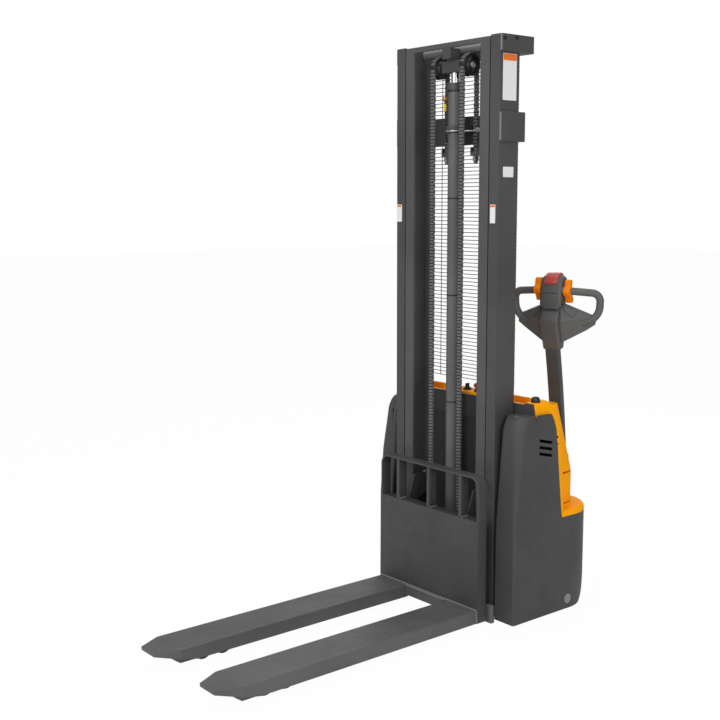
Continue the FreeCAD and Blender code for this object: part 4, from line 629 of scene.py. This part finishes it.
# Body: side panels as mouldings, each a nose before the dash, a sheet with vent slots and a skirt
SIDE_FACE, NOSE_REAR, NOSE_INNER, WALL = 400.0, 191, 300, 3.5
PANEL_TOP, SLOT_FALL, SLOT_END = 838.5, 0.235, 278.8
NOSE_LEVELS = ((40, 0), (411, 0), (500, 0), (600, 0), (700, 0), (790, 0), (808, 0.6), (824, 2.5), (834, 6),
               (840, 12))
SHEET_ROWS = np.array([417.5, 460, 520, 600, 660, 685.3, 697.3, 710.2, 722.2, 735.8, 747.8, 775, 786.3, 800, 812,
                       824, 833, PANEL_TOP])
SHEET_COLUMNS = (NOSE_REAR, 205.8, 224, 242, 260)
SLOT_CELLS = ((5, 1, 5), (7, 1, 5), (9, 1, 5))
SKIRT_ROWS = np.array([40, 44, 49, 55, 62, 71, 82, 97, 118, 154, 230, 330, 417.5])
SKIRT_COLUMNS = (NOSE_REAR, 250.0, 300, 342, 380)


def walled(outer, inner, gaps=()):
    """A wall between two grids of points, less the cells named by row and columns; each open side is closed."""
    rows, columns = outer.shape[:2]
    row, column = np.indices((rows - 1, columns - 1))
    here = row * columns + column
    corners = np.stack([here, here + 1, here + columns + 1, here + columns], -1)
    keep = np.pad(np.ones((rows - 1, columns - 1), bool), 1)
    for first, low, high in gaps:
        keep[first + 1, low + 1:high + 1] = False
    inside, total = keep[1:-1, 1:-1], rows * columns
    quads = [corners[inside], corners[inside][:, ::-1] + total]
    for side, (down, along) in enumerate(((-1, 0), (0, 1), (1, 0), (0, -1))):
        bare = inside & ~keep[1 + down:rows + down, 1 + along:columns + along]
        a, b = corners[bare][:, side], corners[bare][:, (side + 1) % 4]
        quads.append(np.stack([b, a, a + total, b + total], -1))
    return outward(np.concatenate([outer.reshape(-1, 3), inner.reshape(-1, 3)]), np.concatenate(quads),
                   np.zeros((0, 3), int))


def wing_nose(corner, drop):
    """The wing before the dash: level outlines with rounded corners, drawn back as the front leans."""
    rings = []
    quarter = np.linspace(0, math.pi / 2, 9)
    for z, inset in NOSE_LEVELS:
        front = np.interp(z, (40, 411, 790, 840), (76, 76, 97, 116)) + inset
        wide = np.interp(z, (40, 411, 600, 790), corner) - inset * 0.4
        near = np.interp(z, (40, 411, 790), (4, 6, 22)) - inset * 0.4
        outer = SIDE_FACE - inset
        curve_in = np.stack([NOSE_INNER + near * (1 - np.cos(quarter)), front + near * (1 - np.sin(quarter))], -1)
        curve_out = np.stack([outer - wide * (1 - np.sin(quarter)), front + wide * (1 - np.cos(quarter))], -1)
        outline = np.concatenate([[(NOSE_INNER, NOSE_REAR), (NOSE_INNER, front + near + 3)], curve_in, curve_out,
                                  [(outer, front + wide + 3), (outer, NOSE_REAR)]])
        level = z - drop * max(0, (z - 600) / 240)
        rings.append(np.concatenate([outline, np.full((len(outline), 1), level)], -1))
    return shell(rings)


def wing_sheet():
    """The wing beside the hood: rows that tilt with the slots, columns spread up to the slanting rear edge."""
    rows = SHEET_ROWS[:, None]
    rear = np.interp(rows, (418, 734.4, 786.3, PANEL_TOP - 5, PANEL_TOP), (342.6, 309.7, 301.2, 275, 268))
    start = np.minimum(SLOT_END, rear - 4)
    fixed = np.minimum(np.broadcast_to(SHEET_COLUMNS, (len(rows), len(SHEET_COLUMNS))), start)
    y = np.concatenate([fixed, start + np.linspace(0, 1, 5) * (rear - start)], 1)
    tilt = np.interp(rows, (430, 640, 765, 812), (0, 1, 1, 0))
    z = np.where(rows < PANEL_TOP, rows - SLOT_FALL * tilt * (y - 206), rows + 1.5 * (272 - y) / 81)
    skin = np.stack([np.full_like(y, SIDE_FACE), y, z], -1)
    return walled(skin, skin - (WALL, 0, 0), SLOT_CELLS)


def skirt_sheet():
    """The low body's side and rear corner: a level path whose rear tucks in towards the foot."""
    rows = SKIRT_ROWS[:, None]
    tuck = 28 * np.interp(rows, (40, 44, 57, 75, 97, 125, 154), (1, 0.87, 0.55, 0.3, 0.16, 0.05, 0))
    turn = np.linspace(0, math.pi / 2, 15)[None, :]
    straight = np.broadcast_to(SKIRT_COLUMNS, (len(rows), len(SKIRT_COLUMNS)))
    skins = []
    for inset in (0, WALL):
        radius = 155 - tuck / 2 - inset
        side, rear = SIDE_FACE - inset, 575 - tuck - inset
        x = np.concatenate([np.full(straight.shape, side), side - radius * (1 - np.cos(turn)),
                            np.full(rows.shape, 245.1)], 1)
        y = np.concatenate([straight, rear - radius * (1 - np.sin(turn)), rear], 1)
        skins.append(np.stack([x, y, np.broadcast_to(rows, x.shape)], -1))
    return walled(*skins)


# The left nose is rounder and lower than the right one, as its outline in the photograph
for side, other, nose in (("right", lambda form: form, wing_nose((9, 12, 26, 44), 4)),
                          ("left", mirrored, wing_nose((34, 38, 46, 84), 16))):
    piece("wing_nose_" + side, other(nose), PANEL_GREY, "truck", ("side_panel_" + side,), hard=50)
    piece("wing_sheet_" + side, other(wing_sheet()), PANEL_GREY, "truck")
    piece("skirt_" + side, other(skirt_sheet()), PANEL_GREY, "truck", hard=50)
# Near-black sheets behind the vent slots: painted shade for the dark inside of the body
slot_shade = moved(plate(90, 78, 2, 3, 0.2), (394.4, 242.5, 706.5), axes((1, 0, 0), (0, 1, -SLOT_FALL)))
piece("vent_painted_shade", gathered(slot_shade, mirrored(slot_shade)), SLOT_PAINTED_SHADE, "truck")
# A near-black sheet before the battery box: painted shade over what is seen between the mast's uprights
piece("front_painted_shade", moved(plate(756, 487, 4, 3, 0.5), (0, 199.4, 543.5), FORWARDS), PAINTED_SHADE_GREY, "truck")
piece("mast_foot_pads", gathered(*[moved(plate(36, 70, 18, 2, 1), (x, UPRIGHT_FRONT, 57), FORWARDS)
                                   for x in (-277, 277)]), FOOT_GREY, "truck")

# Body: corner plugs, small dots, hood fittings
STUCK_ON, HOOD_TOP = 399.9, 880
KEY_SPOT, STOP_SPOT = (-30, 246, HOOD_TOP), (35, 246, HOOD_TOP)
plug = lathe([(19.5, 0), (20, 0.6), (20, 1.6), (19, 2.4), (17.6, 2.4), (17, 1.4), (8, 1.9), (0.5, 2.1)], 40)
piece("corner_plugs", gathered(*[sideways(plug, side, side * STUCK_ON, 387, 80) for side in (-1, 1)]), PLUG_GREY,
      "truck")
dot = lathe([(3.4, 0), (3.8, 0.4), (3.4, 1.4), (2.2, 1.6), (1.9, 0.8)], 16)
piece("panel_screws", gathered(*[sideways(dot, side, side * STUCK_ON, 391, 401) for side in (-1, 1)]),
      BLACK_PLASTIC, "truck")
knob_dome = lathe([(17.5, 0), (18, 1), (18, 7), (16.6, 8.6), (16.6, 10), (15.8, 14.5), (13.4, 18.6), (9, 21.4),
                   (4, 22.4)], 40)
piece("hood_knob", moved(knob_dome, (352, 232, HOOD_TOP)), BLACK_PLASTIC, "truck")
key_barrel = lathe([(17, 0), (17.5, 0.8), (17.5, 6), (16, 8), (12, 8.6), (11, 11.5), (9.6, 12)], 36)
key_grip = moved(plate(5, 22, 16, 2, 1), (0, 0, 10), axes((0, 0, 1), (1, 0, 0)))
piece("key_switch", moved(gathered(key_barrel, key_grip), KEY_SPOT), BLACK_PLASTIC, "truck",
      ("control_knobs",))
stop_collar = lathe([(19, 0), (19.5, 0.8), (19.5, 5), (17, 7.5), (14, 8), (13.6, 14)], 36)
piece("stop_collar", moved(stop_collar, STOP_SPOT), BLACK_PLASTIC, "truck")
stop = lathe([(11, 7), (12.4, 15), (19, 17.6), (20.6, 20), (21, 24), (20, 28.4), (16.8, 32.2), (11, 34.6),
              (5, 35.4)], 40)
piece("stop_button", moved(stop, STOP_SPOT), STOP_RED, "truck", ("emergency_stop",))

# Tiller head, in the tiller's own axes: x across, y back, z up along the arm from the head's foot
HEAD_FOOT, SLANT, LEAN = 476.0, math.radians(20), math.radians(12)
TILT_PIN = (193.7, 560.95, 590.0)
TILLER_ROWS = np.array([(math.cos(SLANT), math.sin(SLANT), 0),
                        (-math.sin(SLANT) * math.cos(LEAN), math.cos(SLANT) * math.cos(LEAN), math.sin(LEAN)),
                        (math.sin(SLANT) * math.sin(LEAN), -math.cos(SLANT) * math.sin(LEAN), math.cos(LEAN))])
CAP = ((-4, 182), (1, 208), (10, 235), (23, 264), (40, 281), (64, 284), (86, 271), (94, 246), (82, 200),
       (56, 170), (4, 171))
BUTTON = ((16, 266), (26, 283), (42, 293), (68, 295), (90, 284), (97, 266), (66, 262), (30, 258))
LOBES = ((4, 44), (20, 45), (25, 34), (13, 16), (9, 0), (13, -16), (25, -34), (20, -45), (4, -46), (-2, -34),
         (-9, -19), (-22, -6), (-27, 8), (-19, 16), (-7, 21), (-1, 33))
LOBE_MIDDLE, SEAM_Z = (33, 230), 228.0
PAD = np.array([(46, 19, 173), (97, 36, 147), (82, 20, 125), (50, 15, 152)], float)
PAD_OUT = np.array([0.414, -0.868, 0.274])


def on_tiller(form):
    """A form given in the tiller's axes, carried into the truck's frame."""
    return moved((form[0] + (0, 0, HEAD_FOOT), form[1], form[2]), TILT_PIN, TILLER_ROWS)


def drawn_in(outline, inset):
    """An outline moved towards its own inside by an inset."""
    tangent = np.roll(outline, -1, 0) - np.roll(outline, 1, 0)
    tangent /= np.linalg.norm(tangent, axis=1, keepdims=True)
    normal = np.stack([-tangent[:, 1], tangent[:, 0]], -1)
    x, y = outline.T
    if np.sum(x * np.roll(y, -1) - y * np.roll(x, -1)) < 0:
        normal = -normal
    return outline + normal * inset


def rounded_block(outline, start, end, ease, grow=0.0, steps=6):
    """A side outline (y back, z up) swept across x, drawn in along a quarter circle at both ends."""
    turn = np.linspace(-math.pi / 2, 0, steps)
    level = np.concatenate([start + ease * (1 + np.sin(turn)), end - ease * (1 + np.sin(turn[::-1]))])
    inset = np.concatenate([ease * (1 - np.cos(turn)), ease * (1 - np.cos(turn[::-1]))]) - grow
    curve = closed_curve(outline)
    return shell([np.concatenate([np.full((len(curve), 1), x), drawn_in(curve, i)], -1)
                  for x, i in zip(level, inset)])


def front_inlay():
    """The raised middle of the head: rows up its front, narrowing round at the top, closed behind."""
    z = np.array([2, 4, 30, 60, 90, 110, 125, 134, 140, 144, 146])
    front = np.interp(z, (0, 29, 90, 128, 154), (-16, -22, -31, -34, -14))
    wide = 31 * np.sqrt(np.clip(1 - (np.clip(z - 118, 0, None) / 29) ** 2, 0.02, 1))
    across = np.array([-1, -0.93, -0.5, 0, 0.5, 0.93, 1])
    middle_rows = np.where((z > 3) & (z < 145), 1, 0)[:, None]
    proud = np.array([0, 3.2, 3.2, 3.2, 3.2, 3.2, 0])[None, :] * middle_rows
    x = across[None, :] * wide[:, None]
    face = np.stack([x, front[:, None] - proud, np.broadcast_to(z[:, None], x.shape)], -1)
    back = face[:, ::-1].copy()
    back[:, :, 1] = front[:, None] + 4
    return shell(np.concatenate([face, back], 1))


piece("head_cap", on_tiller(rounded_block(CAP, -46, 46, 15, 1.5)), GRIP, "tiller", hard=60)
piece("head_button", on_tiller(rounded_block(BUTTON, -27, 27, 4, 1.5)), RED, "tiller", ("belly_button",),
      hard=60)
lobes = np.asarray(LOBES, float) + LOBE_MIDDLE
lobe_pair = gathered(rounded_block(lobes - (0, 3), 51, 77, 4), rounded_block(lobes + (0, 4), -72, -45, 4))
piece("throttle_lobes", on_tiller(lobe_pair), THROTTLE_ORANGE, "tiller", ("throttle_wings",), hard=60)
seam = rod([(-30, 5.8, SEAM_Z), (0, 5.4, SEAM_Z), (30, 5.8, SEAM_Z)], 1.1, 8)
piece("cap_seam", on_tiller(seam), BLACK_PLASTIC, "tiller")
piece("head_inlay", on_tiller(front_inlay()), GRIP, "tiller")
pad_middle = PAD.mean(0)
pad = shell([PAD - PAD_OUT * 3, PAD + PAD_OUT * 3.4, pad_middle + (PAD - pad_middle) * 0.93 + PAD_OUT * 4.6])
piece("button_pads", on_tiller(gathered(pad, mirrored(pad))), GRIP, "tiller")

# Wheels: rounded treads, turned hubs
ROLLER_WIDTH, ROLLER_Z = 60, 37
DRIVE_WIDTH, DRIVE_SPOT, BOLT_CIRCLE, BOLTS = 75, (245, 420, 115), 45, 5
CASTOR_SPOT = (-267, 460, 70)
tread = lathe([(15, 0), (32, 0), (35.6, 1.2), (37, 4.5), (37, 55.5), (35.6, 58.8), (32, 60), (15, 60)], 40)
hub = lathe([(0.5, -1.5), (9, -1.5), (10, -0.6), (17, 0.3), (17, 59.7), (10, 60.6), (9, 61.5), (0.5, 61.5)], 28)
for side, x in (("left", -197.5), ("right", 197.5)):
    for end, y in (("front", -940.0), ("rear", -854.0)):
        name, body = f"load_roller_{side}_{end}", f"roller_{side}_{end}"
        spot = (x - ROLLER_WIDTH / 2, y, ROLLER_Z)
        piece(name + "_tread", sideways(tread, 1, *spot), TREAD, body, (name,))
        piece(name + "_hub", sideways(hub, 1, *spot), STEEL, body)
spun = axes((math.cos(SLANT), math.sin(SLANT), 0))
spot = np.array(DRIVE_SPOT) - DRIVE_WIDTH / 2 * spun[2]
tread = lathe([(82, 2), (108, 0), (113.4, 2.5), (115, 8), (115, 67), (113.4, 72.5), (108, 75), (82, 73)], 56)
disc = lathe([(1, 20), (26, 20), (28, 12), (60, 12), (64, 4), (82, 4), (83, 1.5), (84, 37), (83, 73.5), (82, 71),
              (64, 71), (60, 63), (28, 63), (26, 55), (1, 55)], 48)
bolt_ring = copies(hex_bolt(15, 8, 10), [(BOLT_CIRCLE * math.cos(t), BOLT_CIRCLE * math.sin(t), 63)
                                         for t in np.arange(BOLTS) * math.tau / BOLTS])
piece("drive_wheel_tread", moved(tread, spot, spun), TREAD, "drive", ("drive_wheel",))
piece("drive_wheel_disc", moved(disc, spot, spun), DARK_STEEL, "drive")
piece("drive_wheel_bolts", moved(bolt_ring, spot, spun), ZINC, "drive")
tread = lathe([(48, 1), (64, 0), (69, 3), (70, 8), (70, 36), (69, 41), (64, 44), (48, 43)], 48)
disc = lathe([(1, 2), (16, 2), (18, 8), (40, 8), (48, 2.5), (49, 22), (48, 41.5), (40, 36), (18, 36), (16, 42),
              (1, 42)], 40)
piece("castor_tread", sideways(tread, 1, *CASTOR_SPOT), TREAD, "castor_roll", ("castor_wheel",))
piece("castor_disc", sideways(disc, 1, *CASTOR_SPOT), STEEL, "castor_roll")

# Camera fitted to the photograph
CAMERA_PLACE = (3180.68, -2943.34, 1637.09)
CAMERA_TURN_DEG = 50.74
CAMERA_PITCH_DEG = 8.03
CAMERA_ROLL_DEG = 0.15
CAMERA_LENS_MM = 55.95
SENSOR_WIDTH_MM = 36

# Studio: the surround's light, how far the camera sees the floor as plain white, and the lamps
FILL_STRENGTH = 0.40
FLOOR_WHITE = 0.975
FLOOR_REACH_M, FLOOR_DROP_M = 30.0, 0.0005
LAMPS = (("key_lamp", (600, -4200, 3600), (0, 0, 1000), 2.6, 92),
         ("side_lamp", (4300, -1500, 2300), (100, 200, 1000), 2.4, 66),
         ("back_lamp", (-2600, 3600, 3000), (0, 200, 1000), 2.2, 46),
         ("top_lamp", (200, -200, 5200), (0, 0, 0), 3.0, 76))


def studio_camera():
    """The camera: turned left from the forks' side, pitched down, a little roll."""
    camera = bpy.data.objects.new("studio_camera", bpy.data.cameras.new("studio_camera"))
    bpy.context.scene.collection.objects.link(camera)
    camera.data.lens = CAMERA_LENS_MM
    camera.data.sensor_width = SENSOR_WIDTH_MM
    camera.data.clip_end = 100
    turn = Matrix.Rotation(math.radians(CAMERA_TURN_DEG), 4, "Z")
    pitch = Matrix.Rotation(math.radians(90 - CAMERA_PITCH_DEG), 4, "X")
    roll = Matrix.Rotation(math.radians(-CAMERA_ROLL_DEG), 4, "Z")
    camera.matrix_world = Matrix.Translation(Vector(place(CAMERA_PLACE))) @ turn @ pitch @ roll
    bpy.context.scene.camera = camera


def area_light(name, spot, target, size, power):
    """A large soft lamp, square with a side in metres, at a spot and aimed at a target."""
    data = bpy.data.lights.new(name, "AREA")
    data.shape = "RECTANGLE"
    data.size = data.size_y = size
    data.energy = power
    lamp = bpy.data.objects.new(name, data)
    bpy.context.scene.collection.objects.link(lamp)
    start, end = Vector(place(spot)), Vector(place(target))
    lamp.matrix_world = Matrix.Translation(start) @ (end - start).to_track_quat("-Z", "Y").to_matrix().to_4x4()


def surround():
    """White for the camera and what is seen through, a softer fill for everything else."""
    world = bpy.data.worlds.new("studio_world")
    bpy.context.scene.world = world
    world.use_nodes = True
    tree = world.node_tree
    tree.nodes.clear()
    output = tree.nodes.new("ShaderNodeOutputWorld")
    seen, fill = tree.nodes.new("ShaderNodeBackground"), tree.nodes.new("ShaderNodeBackground")
    seen.inputs["Color"].default_value = (1, 1, 1, 1)
    fill.inputs["Color"].default_value = (1, 1, 1, 1)
    fill.inputs["Strength"].default_value = FILL_STRENGTH
    mix = tree.nodes.new("ShaderNodeMixShader")
    path = tree.nodes.new("ShaderNodeLightPath")
    either = tree.nodes.new("ShaderNodeMath")
    either.operation = "MAXIMUM"
    tree.links.new(path.outputs["Is Camera Ray"], either.inputs[0])
    tree.links.new(path.outputs["Is Transmission Ray"], either.inputs[1])
    tree.links.new(either.outputs[0], mix.inputs["Fac"])
    tree.links.new(fill.outputs[0], mix.inputs[1])
    tree.links.new(seen.outputs[0], mix.inputs[2])
    tree.links.new(mix.outputs[0], output.inputs["Surface"])


def white_floor():
    """A floor that the camera sees as nearly plain white, with the shadow kept."""
    mesh = bpy.data.meshes.new("studio_floor")
    reach = FLOOR_REACH_M
    mesh.from_pydata([(-reach, -reach, 0), (reach, -reach, 0), (reach, reach, 0), (-reach, reach, 0)], [],
                     [(0, 1, 2, 3)])
    floor = bpy.data.objects.new("studio_floor", mesh)
    bpy.context.scene.collection.objects.link(floor)
    floor.location.z = -FLOOR_DROP_M
    material = bpy.data.materials.new("floor_white")
    material.use_nodes = True
    nodes, links = material.node_tree.nodes, material.node_tree.links
    principled = nodes["Principled BSDF"]
    principled.inputs["Base Color"].default_value = (0.86, 0.86, 0.86, 1)
    principled.inputs["Roughness"].default_value = 0.9
    glow = nodes.new("ShaderNodeEmission")
    glow.inputs["Strength"].default_value = 1.0
    blend = nodes.new("ShaderNodeMixShader")
    light_path = nodes.new("ShaderNodeLightPath")
    share = nodes.new("ShaderNodeMath")
    share.operation = "MULTIPLY"
    share.inputs[1].default_value = FLOOR_WHITE
    links.new(light_path.outputs["Is Camera Ray"], share.inputs[0])
    links.new(share.outputs[0], blend.inputs["Fac"])
    links.new(principled.outputs[0], blend.inputs[1])
    links.new(glow.outputs[0], blend.inputs[2])
    links.new(blend.outputs[0], nodes["Material Output"].inputs["Surface"])
    mesh.materials.append(material)


studio_camera()
surround()
white_floor()
for lamp in LAMPS:
    area_light(*lamp)

bpy.context.scene.view_settings.view_transform = "Standard"
